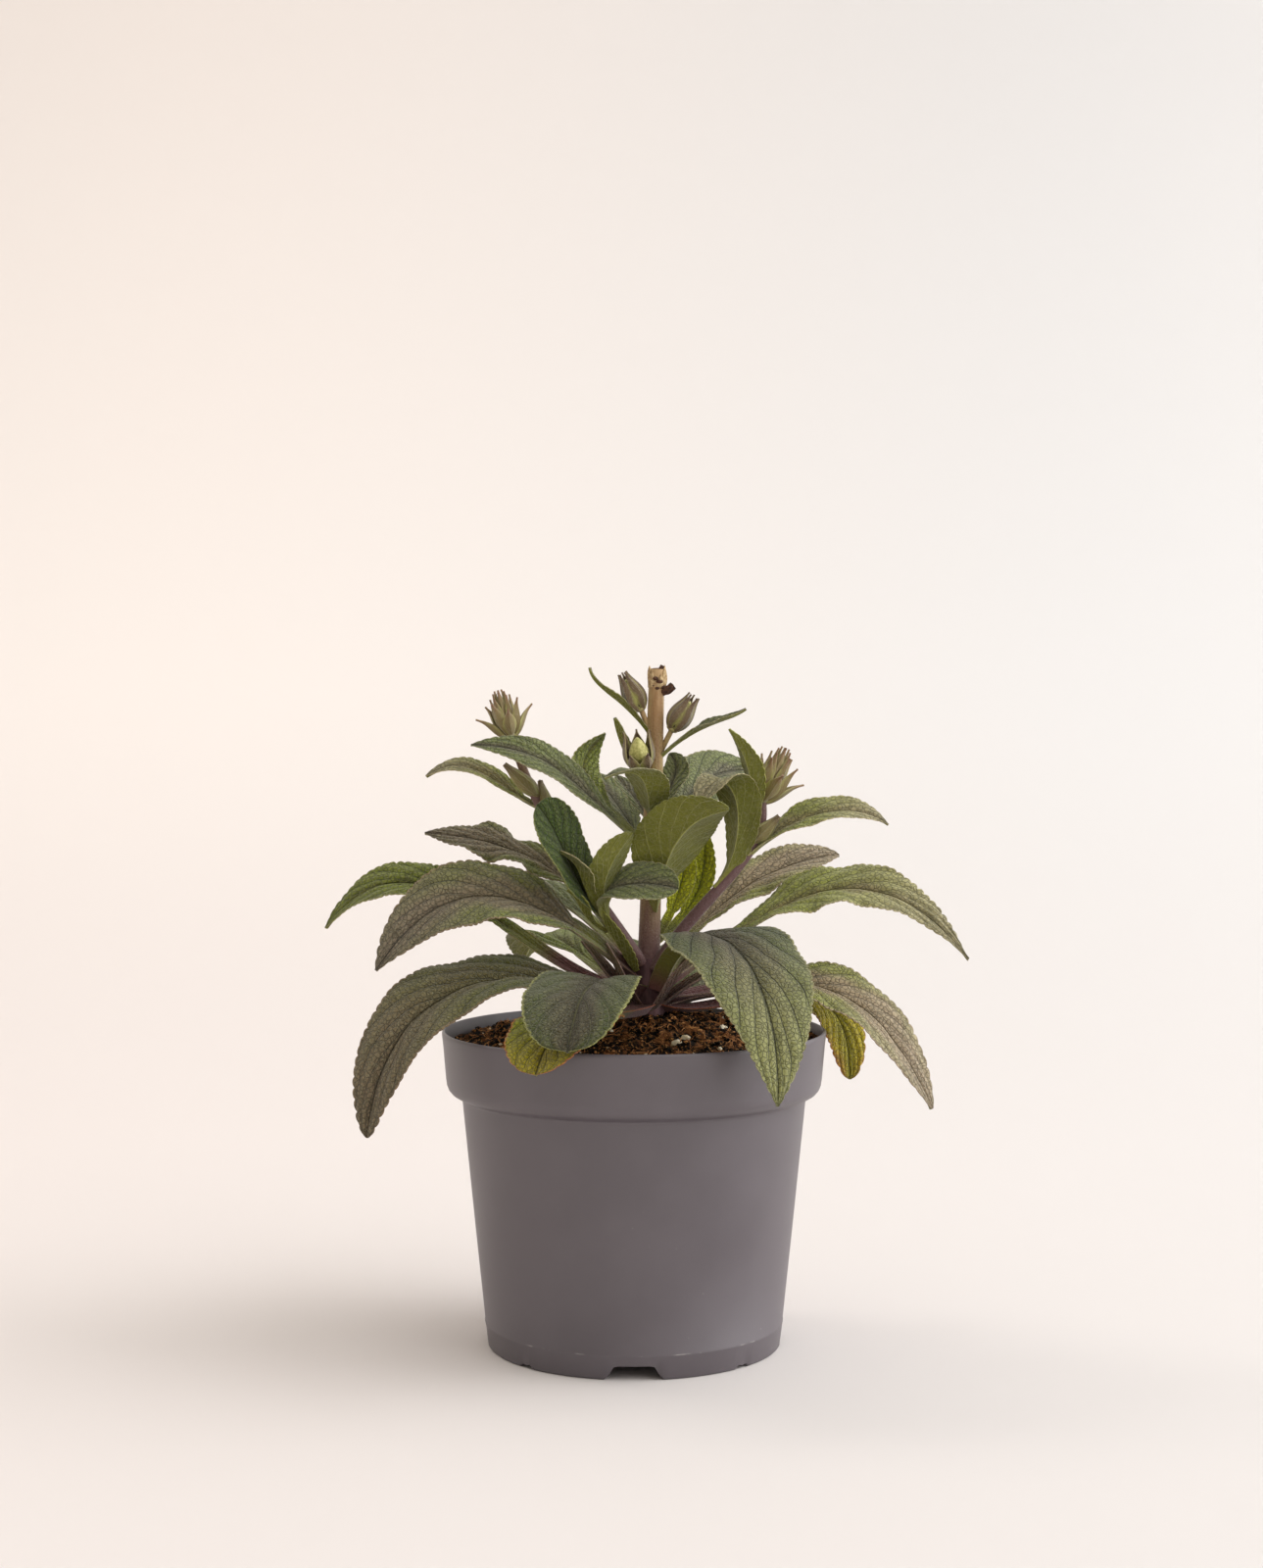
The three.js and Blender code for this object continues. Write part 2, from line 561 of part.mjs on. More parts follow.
function mainStemGeometry(clearance) {
  const curve = new THREE.LineCurve3(new THREE.Vector3(crownX, crownY, 150), vector(stemTop));
  return stemGeometry(curve,
    (along) => THREE.MathUtils.lerp(stemBaseRadius, stemTopRadius, along) + clearance, stemSides, 8);
}

function crownAndStem(clearance) {
  return solidOf(crownGeometry(clearance)).add(solidOf(mainStemGeometry(clearance)));
}

// A short stalk that joins a bud to the stem
function budStalk(bud) {
  const curve = new THREE.LineCurve3(vector(bud.stalk), vector(bud.foot));
  return solidOf(stemGeometry(curve, () => 1.2, 6, 2));
}

function scab([root, third, twoThirds, tip, radius]) {
  const curve = curveThrough([root, third, twoThirds, tip]);
  return solidOf(stemGeometry(curve, (along) => radius * (0.5 + 0.8 * along * (1.3 - along)), 6, 3));
}

function mainStem() {
  const buds = Object.values(openBuds);
  return joined([
    crownAndStem(0),
    ...Object.values(mainStemLeaves).map(stemLeaf),
    ...buds.map(budStalk),
    ...buds.map(calyx),
    ...stubScabs.map(scab),
  ]);
}

function sideShoot(side, curve, leaves) {
  const buds = Object.values(closedBuds).filter((bud) => bud.shoot === side);
  return joined([
    shoot(curve),
    ...Object.values(leaves).map(stemLeaf),
    ...buds.map(closedBud),
  ]);
}

// The group
const foxglove = new THREE.Group();

function addNode(name, solid, colour, roughness = 0.8) {
  const material = new THREE.MeshStandardMaterial({ color: colours[colour], roughness, metalness: 0 });
  const mesh = new THREE.Mesh(geometryOf(solid), material);
  mesh.name = name;
  foxglove.add(mesh);
}

const seat = crownAndStem(gap);
const leftShoot = sideShoot("left", leftShootCurve, leftShootLeaves).subtract(seat);
const rightShoot = sideShoot("right", rightShootCurve, rightShootLeaves).subtract(seat);

addNode("pot", potBody(), "pot", 0.55);
addNode("soil", soilBody().subtract(solidOf(crownGeometry(gap))), "soil", 0.95);
addNode("main_stem", mainStem(), "stem");
addNode("left_shoot", leftShoot, "stem");
addNode("left_head", flowerHead(leftHead), "head");
addNode("right_shoot", rightShoot, "stem");
addNode("right_head", flowerHead(rightHead), "head");
for (const [place, bud] of Object.entries(openBuds)) {
  addNode(`corolla_${place}`, corolla(bud), "corolla");
}
for (const [name, row] of Object.entries(basalLeaves)) {
  addNode(name, basalLeaf(row).subtract(seat), row[0]);
}

export default foxglove;
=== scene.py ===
# A young foxglove with its first buds, in a round nursery pot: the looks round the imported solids.
# Sizes are in millimetres while a piece is shaped, and a finished piece is in metres.
import math
import random

import bmesh
import bpy
from mathutils import Matrix, Vector, noise


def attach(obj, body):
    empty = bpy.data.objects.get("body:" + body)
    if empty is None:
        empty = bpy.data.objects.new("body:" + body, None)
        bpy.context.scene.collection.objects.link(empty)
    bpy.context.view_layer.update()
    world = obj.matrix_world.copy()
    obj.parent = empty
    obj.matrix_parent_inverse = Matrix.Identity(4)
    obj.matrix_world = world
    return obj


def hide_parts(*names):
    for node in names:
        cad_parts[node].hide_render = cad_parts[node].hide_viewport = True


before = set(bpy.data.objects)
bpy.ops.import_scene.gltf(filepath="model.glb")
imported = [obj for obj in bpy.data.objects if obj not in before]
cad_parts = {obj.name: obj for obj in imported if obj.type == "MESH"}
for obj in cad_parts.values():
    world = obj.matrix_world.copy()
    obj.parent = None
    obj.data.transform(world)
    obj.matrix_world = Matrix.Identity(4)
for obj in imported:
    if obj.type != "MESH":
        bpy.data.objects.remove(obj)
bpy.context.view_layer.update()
chance = random.Random(7)

METRE = 0.001
SHARP_ANGLE = 50

# Pot
POT_HEIGHT = 139
RIM_RADIUS = 85
COLLAR_FOOT_RADIUS = 83.2
COLLAR_FOOT = 118
SHOULDER = 110
SHOULDER_RADIUS = 76.2
SHOULDER_CURVE = ((79.2, 111), (80.9, 112), (82.1, 113.4), (82.8, 115.2))
INNER_SHOULDER = (81.3, 115.2)
COLLAR_MIDDLE = (84.5, 133)
BASE_RADIUS = 65
WALL = 1.3
FLOOR_UNDERSIDE = 6.5
FOOT_WIDTH = 2.5
FOOT_SET_IN = 1
POT_SEGMENTS = 192
DRILL_SEGMENTS = 32
DRILL_LENGTH = 6
SEAM_HEIGHT = 10.5
DRAIN_HOLES = 8
DRAIN_HOLE_RADIUS = 5
DRAIN_CIRCLE = 48
NOTCHES = 4
NOTCH_BOTTOM = 24
NOTCH_TOP = 16.5
NOTCH_HEIGHT = 6
SLIT_WIDTH = 3
SLIT_HEIGHT = 2.2
SLIT_ANGLE = 44
SLIT_SLOPE = 0.6

# Soil and crown
GAP = 0.3
SOIL_AT_WALL = 133
SOIL_EDGE = 82.5
SOIL_SHOULDER = (80.9, 115.8)
SOIL_RINGS = 70
SOIL_SEGMENTS = 256
SOIL_AT_CROWN = 146.5
MOUND_FALL = 0.9
SOIL_BUMP = 0.9
CROWN_X = 6
CROWN_Y = 5
CROWN_FOOT = 136
CROWN_TOP = 170
CROWN_RADIUS = 8.4
CROWN_CLEAR = 2.5
CROWN_STEPS = ((1, 0), (0, 10), (0.6, 17), (2.2, 24))
CRUMB_WAVES = ((1.5, 0.16), (1.5, 0.35), (0.9, 0.8))
CRUMB_EDGE = 82
CRUMBS = 900
FIBRE_CRUMBS = 260
SOIL_REACH = 80
FIBRES = 560
FIBRE_REACH = 76
FIBRE_LIMIT = 79
FIBRE_RADIUS = 0.22
SMALL_GRAINS = 38
GRAIN_SQUASH = 0.85

# The larger grains of perlite: x, y and radius
LARGE_GRAINS = (
    (18, -46, 3.0), (22, -41, 2.2), (25, -66, 2.6), (1.5, -74, 1.6), (-8, -69, 1.4),
    (43, -66, 1.3), (36, -54, 1.2), (-20, -52, 1.5), (-48, -40, 1.3),
)

# Hairs
BUNCH_LIMIT = 300
HAIR_RADIUS = 0.05
STEM_HAIRS = 1600
SHOOT_HAIRS = 700

# Stems
TRUNK_FOOT = 150
STEM_RIDGE = 0.02
STALK_RADIUS = 1.2
STEM_TOP = (10.2, 5, 298.5)
STEM_BASE_RADIUS = 5.2
STEM_TOP_RADIUS = 3.4
SHOOT_BASE_RADIUS = 2.9
SHOOT_TOP_RADIUS = 1.8
LEFT_SHOOT = ((3, 1, 168), (-17, -7, 198), (-37, -3, 229), (-54.5, 3, 268.5))
RIGHT_SHOOT = ((9, 1, 165), (32, 0, 195), (51, 2, 217), (57, 4, 240))

# Blades
BLADE = 0.8
BRACT = 0.7
WING_SHARE = 0.33
WING_LIMIT = 6
ROOT_HALF_WIDTH = 4.6
STEM_LEAF_ROOT = 1.8
KEEL_SHARE = 0.17
TOOTH_SPACING = 3.4
ROWS_PER_TOOTH = 6
PETIOLE_ROWS = 14
SIDE_VEINS = 6
VEIN_SWEEP = 0.5
VEIN_CURVE = 0.8
BASAL_STEPS = 24
STEM_LEAF_STEPS = 12
BRACT_STEPS = 8

# A row holds four points of the midrib (root, a third, two thirds, tip), then half the width, the share
# of the length that is petiole, where the blade is widest, how pointed it is, the angle of its halves
# at the midrib and at the margin, its roll at root and tip, and the height and number of its waves.
# A basal leaf's row starts with its kind.
BASAL_LEAVES = {
    "leaf_far_left": ("green", (1, 7, 156), (-44, 15, 174), (-93, 22, 201), (-143, 45, 180),
                      12.5, 0.42, 0.5, 0.9, 25, 0, -20, -45, 1.2, 2),
    "leaf_big_left": ("purple", (1, 4, 163), (-31, -12, 188), (-71, -20, 199), (-111, -32, 168),
                      19.5, 0.28, 0.45, 0.65, 22, 0, -25, -50, 1.5, 2.5),
    "leaf_lower_left": ("purple", (0, 5, 151), (-43, -14, 163), (-88, -38, 153), (-113, -50, 99),
                        20.5, 0.16, 0.5, 0.6, 28, -8, -10, -32, 1.6, 2.5),
    "leaf_front_spoon": ("grey", (2.5, 0, 157), (-12, -30, 163), (-21, -66, 162), (-27, -97, 142),
                         24, 0.3, 0.56, 0.42, 26, -5, 0, 0, 1, 2),
    "leaf_front_low": ("yellow", (6, -2, 150), (-12, -36, 150), (-29, -68, 148), (-40, -92, 132),
                       22, 0.35, 0.5, 0.45, 12, 0, 0, 0, 1.2, 3),
    "leaf_front_right": ("grey", (10, 0, 156.5), (29, -25, 183), (50, -67, 170), (58, -92, 119),
                         27.5, 0.22, 0.4, 0.57, 14, -10, 2, 5, 1.5, 3),
    "leaf_lower_right": ("purple", (11, 6, 153), (52, 8, 158), (94, 3, 153), (132, -5, 104),
                         17, 0.36, 0.47, 0.62, 20, 0, 10, 40, 1.2, 2.5),
    "leaf_yellow_right": ("yellow", (11, 3, 149.5), (48, 7, 151), (83, 18, 150), (98, 22, 113),
                          12.5, 0.5, 0.52, 0.55, 15, 0, 0, 80, 1, 2),
    "leaf_big_right": ("grey", (11, 5, 157), (52, 16, 184), (98, 7, 201), (144, -30, 173),
                       16, 0.28, 0.42, 0.75, 25, -5, 15, 45, 2, 3),
    "leaf_grey_right": ("purple", (10, 8, 162), (35, 27, 188), (63, 39, 206), (95, 44, 214),
                        14, 0.25, 0.5, 0.65, 20, 0, 10, 34, 1.5, 2.5),
    "leaf_curly_left": ("purple", (3, 9, 169), (-31, 21, 204), (-62, 22, 220), (-95, 25, 225),
                        12, 0.3, 0.45, 0.7, 15, -10, -15, -40, 3.2, 2.6),
    "leaf_back_left_low": ("green", (3, 9, 151), (-21, 40, 166), (-41, 72, 174), (-54, 97, 160),
                           17, 0.35, 0.5, 0.7, 20, 0, 0, 0, 1.5, 2.5),
    "leaf_back_left": ("grey", (4, 9, 160), (-25, 36, 188), (-58, 60, 200), (-90, 80, 182),
                       16, 0.3, 0.5, 0.8, 22, 0, 0, 0, 1.5, 2.5),
    "leaf_back": ("grey", (7, 10, 155), (10, 40, 168), (12, 70, 168), (15, 97, 146),
                  18, 0.3, 0.5, 0.8, 22, 0, 0, 0, 1.5, 2.5),
    "leaf_back_right": ("grey", (9, 8, 150), (30, 37, 152), (52, 65, 160), (71, 88, 142),
                        17, 0.08, 0.5, 0.6, 26, 5, 0, 0, 1.5, 2.5),
}

MAIN_STEM_LEAVES = {
    "arching_left": ((5, 2, 221), (-20, -6, 243), (-41, -10, 259), (-71, -16, 265),
                     9.5, 0.15, 0.5, 0.85, 22, 0, -35, -60, 0.8, 2),
    "upright_left": ((6, 6, 220), (-16, 24, 240), (-23, 34, 255), (-13, 38, 270),
                     8, 0.2, 0.5, 0.8, 25, 5, 0, 0, 0.6, 2),
    "grey_back_left": ((6, 7, 216), (-3, 28, 231), (-13, 46, 244), (-24, 58, 252),
                       10, 0.2, 0.5, 0.7, 20, 0, 0, 0, 0.8, 2),
    "under_front_bud": ((9, 3, 230), (7, -13, 243), (2, -24, 253), (-13, -33, 251),
                        10, 0.1, 0.42, 0.75, 20, 0, 0, 0, 0.8, 2),
    "pale_left": ((8, 6, 226), (3, 16, 237), (-3, 24, 245), (-8, 30, 251),
                  6, 0.15, 0.5, 0.75, 25, 5, 0, 0, 0.5, 2),
    "centre_front": ((9, 2, 192), (14, -10, 215), (24, -20, 230), (41, -28, 238),
                     18, 0.1, 0.45, 0.6, 25, 10, -25, -30, 0.8, 2),
    "grey_back_right": ((9, 7, 228), (16, 18, 245), (19, 22, 254), (16, 26, 261),
                        7, 0.15, 0.5, 0.7, 20, 0, 0, 0, 0.6, 2),
    "dark_back_right": ((9, 7, 221), (24, 25, 241), (38, 45, 251), (56, 60, 253),
                        16, 0.15, 0.5, 0.6, 20, 0, 25, 40, 1, 2.5),
    "bright_near": ((8, 7, 176), (18, 14, 193), (22, 18, 206), (24, 20, 220),
                    6.5, 0.2, 0.55, 0.8, 25, 10, 50, 50, 0.5, 2),
    "bright_far": ((8, 8, 175), (25, 18, 192), (31, 21, 207), (33, 23, 225),
                   6.5, 0.2, 0.55, 0.8, 25, 10, 50, 50, 0.5, 2),
    "left_bud_bract": ((9, 5, 266), (-2, 2, 281), (-13, -2, 290), (-19, -4, 299),
                       3, 0.1, 0.4, 0.9, 30, 10, 0, 0, 0.3, 2),
    "right_bud_bract": ((10, 5, 258), (26, 0, 271), (38, -3, 276), (49, -6, 281),
                        4, 0.1, 0.45, 0.9, 30, 10, 10, 20, 0.5, 2),
    "front_bud_bract": ((7, 4, 250), (-2, 2, 260), (-6, 1, 269), (-8, -1, 277),
                        5, 0.1, 0.45, 0.7, 30, 10, 0, 0, 0.4, 2),
}

# Broad purple leaf bases that stand round the crown
CROWN_SHEATHS = {
    "back_left": ((3, 4, 150), (0.5, 3, 160), (-2, 2, 169), (-3, 1, 178),
                  6, 0, 0.35, 0.6, 20, 10, 63, 63, 0.3, 1),
    "front_right": ((8, -1, 148), (15, -7, 158), (21, -11, 167), (27, -14, 174),
                    6.5, 0, 0.45, 0.6, 25, 10, 25, 25, 0.3, 1),
    "right": ((10, 2, 148), (19, 0, 155), (28, -2, 161), (36, -3, 166),
              5.5, 0, 0.45, 0.6, 25, 10, 20, 20, 0.3, 1),
    "front_left": ((4, 0, 148), (-3, -5, 158), (-8, -8, 168), (-12, -10, 178),
                   5.5, 0, 0.45, 0.6, 25, 10, -20, -20, 0.3, 1),
    "low_right": ((10, 5, 147), (20, 8, 150), (34, 10, 152.5), (50, 11, 153.5),
                  4.5, 0, 0.5, 0.6, 10, 10, 0, 0, 0.3, 1),
    "left": ((2, 4, 148), (-8, 3, 159), (-16, 2, 169), (-23, 1, 178),
             5.5, 0, 0.45, 0.6, 25, 10, -20, -20, 0.3, 1),
}

LEFT_SHOOT_LEAVES = {
    "outer": ((-41, 0, 237), (-58, 3, 247), (-74, 5, 255), (-93, 8, 251),
              6.5, 0.1, 0.5, 0.8, 25, 5, -25, -35, 0.5, 2),
    "broad_front": ((-9, -5, 184), (-24, -12, 205), (-33, -16, 224), (-42, -20, 239),
                    14.5, 0.12, 0.55, 0.5, 20, 5, -45, -70, 0.8, 2),
    "crossing": ((-7, -4, 181), (-13, -14, 199), (1, -22, 205), (19, -28, 203),
                 12, 0.2, 0.55, 0.7, 20, 0, 25, 50, 0.5, 2),
    "bright_up": ((-9, -5, 182), (-14, -14, 200), (-10, -19, 214), (-1, -20, 227),
                  8.5, 0.15, 0.5, 0.65, 25, 5, 0, 0, 0.5, 2),
    "grey_small": ((-14, -5, 190), (-20, -14, 203), (-24, -18, 212), (-32, -20, 219),
                   7, 0.15, 0.5, 0.75, 25, 5, -15, -20, 0.5, 2),
    "narrow_up": ((-12, -4, 183), (-20, -12, 190), (-24, -15, 197), (-29, -16, 202),
                  4, 0.15, 0.5, 0.8, 30, 10, 0, 0, 0.3, 2),
    "sheath": ((1, -1, 165), (-5, -6, 175), (-11, -9, 185), (-18, -11, 196),
               5, 0, 0.4, 0.5, 40, 20, 0, 0, 0, 1),
}

RIGHT_SHOOT_LEAVES = {
    "upright": ((53, 2, 226), (53, -5, 246), (49, -8, 260), (42, -9, 272),
                6.5, 0.1, 0.45, 0.85, 30, 10, 0, 0, 0.4, 2),
    "broad_inner": ((36, 0, 201), (47, 0, 227), (42, -5, 248), (28, -13, 239),
                    11, 0.12, 0.55, 0.6, 22, 0, 0, 0, 0.6, 2),
    "outer": ((50, 1, 216), (68, 1, 229), (90, -3, 236), (112, -8, 230),
              10, 0.12, 0.45, 0.8, 25, 0, 25, 40, 0.8, 2.5),
}

# Leaves that wear another finish than the rest of their kind; the finishes bright, dark, pale, spoon and
# slate are lit or shaded copies with painted light or painted shade
LEAF_TINTS = {
    "leaf_front_spoon": "spoon",
    "leaf_front_low": "turning",
    "leaf_front_right": "slate",
    "leaf_lower_left": "plum",
    "leaf_lower_right": "mauve",
    "leaf_grey_right": "mauve",
    "leaf_big_right": "pale",
    "bright_near": "bright",
    "bright_far": "bright",
    "bright_up": "bright",
    "narrow_up": "bright",
    "sheath": "bright",
    "upright": "bright",
    "upright_left": "green",
    "broad_front": "dark",
    "centre_front": "dark",
    "crossing": "grey",
    "grey_small": "pale",
    "broad_inner": "pale",
    "outer": "pale",
}

# The material slot of each kind of basal leaf
LEAF_SLOTS = {
    "green": "leaf_green",
    "grey": "leaf_grey_green",
    "purple": "leaf_purple_grey",
    "yellow": "leaf_yellowing",
}

# An upper side's colours at the margin, along the middle and on the rim, how far the middle spreads, the
# colour and share of its veins, the share of pale hairs, its age, and the colour towards its tip.
# DARK_VEIN is partly the veins' own colour and partly painted shade in their sunken grooves
DARK_VEIN = (60, 60, 32)
UPPER_SIDES = {
    "green": ((122, 134, 40), (114, 108, 52), (180, 172, 114), 0.2, DARK_VEIN, 0.45, 0.4, 0, None),
    # Painted glow: the bright row paints light shining through backlit leaves into their colour
    "bright": ((196, 202, 4), (172, 182, 4), (190, 190, 104), 0.1, DARK_VEIN, 0.45, 0.1, 0, None),
    # Painted shade: a darker copy for leaves that stand in shade
    "dark": ((58, 80, 0), (56, 64, 2), (150, 150, 84), 0.1, DARK_VEIN, 0.45, 0.08, 0, None),
    # Partly painted light: the leaves' own greyer colour, made lighter for leaves that catch more light
    "pale": ((160, 168, 80), (156, 146, 96), (204, 190, 144), 0.35, (196, 190, 134), 0.3, 0.4, 0,
             (186, 174, 140)),
    "grey": ((110, 120, 66), (106, 102, 78), (172, 164, 124), 0.4, DARK_VEIN, 0.45, 0.4, 0, None),
    # Painted shade: a darker copy for the front spoon leaf, which is lit less
    "spoon": ((60, 70, 18), (58, 50, 26), (164, 164, 94), 0.55, (136, 134, 84), 0.4, 0.35, 0, None),
    # Painted shade: a darker copy for the front right leaf, which is lit less; lighter towards its tip
    "slate": ((66, 76, 34), (72, 62, 46), (152, 148, 100), 0.6, (30, 36, 18), 0.65, 0.4, 0, (152, 154, 92)),
    "purple": ((112, 120, 48), (124, 110, 84), (150, 126, 98), 0.7, DARK_VEIN, 0.2, 0.4, 0, (124, 110, 92)),
    "plum": ((84, 88, 22), (88, 80, 36), (140, 116, 88), 0.6, DARK_VEIN, 0.2, 0.4, 0, (120, 103, 82)),
    "mauve": ((148, 152, 70), (168, 148, 116), (176, 152, 126), 0.7, (110, 98, 72), 0.3, 0.4, 0,
              (184, 166, 142)),
    "yellow": ((186, 168, 4), (158, 148, 4), (184, 100, 44), 0.4, DARK_VEIN, 0.45, 0.12, 0.3, None),
    "turning": ((146, 162, 4), (150, 144, 10), (190, 100, 50), 0.35, DARK_VEIN, 0.45, 0.12, 0.15,
                (166, 150, 20)),
    "sheath": ((122, 84, 70), (98, 60, 62), (188, 156, 146), 0.6, DARK_VEIN, 0.2, 0.3, 0, (126, 106, 66)),
}

# Sepals and bracts: the colour of the margins and foot, along the middle, and of the tip
BRACT_COLOURS = {
    "closed_bract": ((136, 140, 62), (128, 116, 70), (96, 70, 50)),
    "sepal": ((150, 150, 74), (108, 88, 64), (88, 60, 46)),
    "head_bract": ((160, 158, 88), (134, 118, 76), (140, 98, 74)),
}

# Plain finishes: two colours, the scale of their mottling, roughness, the grain's depth, and sheen
PLAIN_FINISHES = {
    "corolla": ((208, 202, 128), (158, 156, 74), 900, 0.5, 0.0008, 0.3),
    "scab": ((52, 32, 22), (96, 62, 40), 700, 0.85, 0.0008, 0),
    "pith": ((206, 182, 138), (150, 120, 82), 800, 0.85, 0.0006, 0),
    "hair": ((206, 202, 188), (186, 180, 166), 200, 0.6, 0.0004, 0),
    "pink_hair": ((206, 176, 176), (182, 146, 150), 200, 0.6, 0.0004, 0),
    "fibre": ((222, 158, 96), (140, 90, 50), 300, 0.9, 0.0004, 0),
    "perlite": ((255, 248, 226), (240, 222, 186), 500, 0.9, 0.0008, 0),
}

# An open bud: the root of its stalk, its foot and tip, its greatest radius, how wide its sepals stand at
# their tips as a share of that radius, and how many of the five stand up.
OPEN_BUDS = {
    "left": ((9, 5, 266), (3, 4, 281), (-5.5, 1, 297), 3.7, 0.45, 5),
    "right": ((10, 5, 258), (17, 4, 272), (27, 1, 287), 3.9, 0.6, 5),
    "front": ((8, 2, 250), (3, -5, 254), (1, -9, 271), 5.3, 1.1, 3),
}
SEPALS = 5
SEPAL_TURN = 0.314

# The closed buds of each side shoot: foot, tip and greatest radius
CLOSED_BUDS = {
    "left": (((-43.5, -1, 243), (-58, -2, 257), 3.2), ((-38.5, -1, 235), (-42, 3, 250), 2.8)),
    "right": (((53.5, 2, 222), (65, 0, 234), 3.4),),
}

# A flower head: foot, top and radius
LEFT_HEAD = ((-54.5, 3, 268.5), (-60.5, 3, 289), 5.2)
RIGHT_HEAD = ((57, 4, 240), (67.5, 4, 263.5), 5.8)

# A ring of bracts in a head: their number and turn, then as shares of the head's length or radius the
# height and radius of their feet, their widest radius, length, tip radius and half width, and their fold.
HEAD_RINGS = (
    (4, 0.2, 0, 0.3, 1.15, 0.55, 2.5, 0.68, 28),
    (4, 1.1, 0.07, 0.4, 1.15, 0.68, 1.6, 0.6, 32),
    (5, 0.4, 0.18, 0.45, 0.92, 0.68, 0.85, 0.5, 32),
    (5, 0.9, 0.32, 0.4, 0.65, 0.63, 0.45, 0.4, 30),
    (4, 0.1, 0.46, 0.12, 0.38, 0.54, 0.25, 0.3, 30),
)

# The cut end: the turn and rise of each splinter, the turn, drop and size of each scab, two curled stubs
TORN_SPLINTERS = (
    (205, 1.6), (165, 0.9), (235, -0.6), (20, 1.9), (-22, 1.4), (60, 0.4), (110, -0.8), (300, -2.2),
)
SPLINTER_LENGTH = 8
SPLINTER_RADIUS = 1.6
SCAB_SPOTS = ((255, 4.2, 1.5), (290, 5.6, 1.7), (318, 8, 1.5), (272, 8.6, 1.1), (240, 7.4, 0.8))
STUB_SCABS = (
    (((11, 4, 288), (13.5, 3.5, 288.6), (15.5, 3, 289.6), (17.5, 3, 291)), 2.3),
    (((10.5, 4.5, 296), (11.2, 4.2, 297.3), (12, 4, 298.6), (12.8, 4, 300)), 1.3),
)

# Camera: its focal length and the photograph's height in pixels, its place, tilt and sensor in millimetres
# and degrees.
FOCAL_PIXELS = 2332
PHOTO_HEIGHT = 1600
CAMERA_PLACE = (-1.1, -1012.1, 268.0)
CAMERA_TILT = 1.16
SENSOR = 36

# A light's row holds its turn from the camera's side to the right, its rise above the floor, its distance
# and width in metres, its power and its colour.
LIGHTS = {
    "side": (66, 35, 4.0, 5.5, 104, (0.98, 0.985, 1.0)),
    "back": (106, 30, 4.0, 5.5, 150, (0.98, 0.985, 1.0)),
    "left": (-130, 45, 4.0, 2.5, 62, (1.0, 0.95, 0.9)),
    "top": (0, 85, 4.0, 3.0, 8, (1.0, 0.985, 0.97)),
}
LIGHT_TARGET = (0, 0, 0.12)
ROOM_LIGHT = 0.5
ROOM_COLOUR = (1.0, 0.93, 0.84, 1.0)

# The paper behind the plant, in metres, and its colours from left to right, painted darker and cooler on
# the right to offset the stronger light there
PAPER_REACH = 5.0
PAPER_FRONT = -3.0
PAPER_BEND = 0.5
PAPER_CURVE = 1.1
PAPER_CURVE_STEPS = 24
PAPER_TOP = 6
PAPER_FLOOR = ((0.815, 0.76, 0.735, 1), (0.73, 0.71, 0.70, 1))
PAPER_WALL = ((0.91, 0.85, 0.81, 1), (0.755, 0.745, 0.74, 1))


# Small helpers
def mixed(a, b, share):
    return a + (b - a) * share


def clamped(value, low=0.0, high=1.0):
    return max(low, min(high, value))


def smooth_step(value, low, high):
    t = clamped((value - low) / (high - low))
    return t * t * (3 - 2 * t)


def tone(*screen):
    """A colour from its three 0 to 255 screen values"""
    linear = [((c / 255 + 0.055) / 1.055) ** 2.4 if c > 10 else c / 255 / 12.92 for c in screen]
    return (*linear, 1.0)


def cubic(points):
    """The control points of the cubic curve that passes through four points at equal steps"""
    a, b, c, d = (Vector(p) for p in points)
    return a, (18 * b - 5 * a - 9 * c + 2 * d) / 6, (2 * a - 9 * b + 18 * c - 5 * d) / 6, d


def on_cubic(curve, t):
    a, b, c, d = curve
    s = 1 - t
    return a * s**3 + b * (3 * s * s * t) + c * (3 * s * t * t) + d * t**3


def along_cubic(curve, t):
    a, b, c, d = curve
    s = 1 - t
    return ((b - a) * (s * s) + (c - b) * (2 * s * t) + (d - c) * (t * t)).normalized()


def aim(foot, tip):
    """The place of a piece that is shaped along +Z with its foot at zero"""
    direction = Vector(tip) - Vector(foot)
    turn = Vector((0, 0, 1)).rotation_difference(direction)
    return Matrix.Translation(Vector(foot)) @ turn.to_matrix().to_4x4()


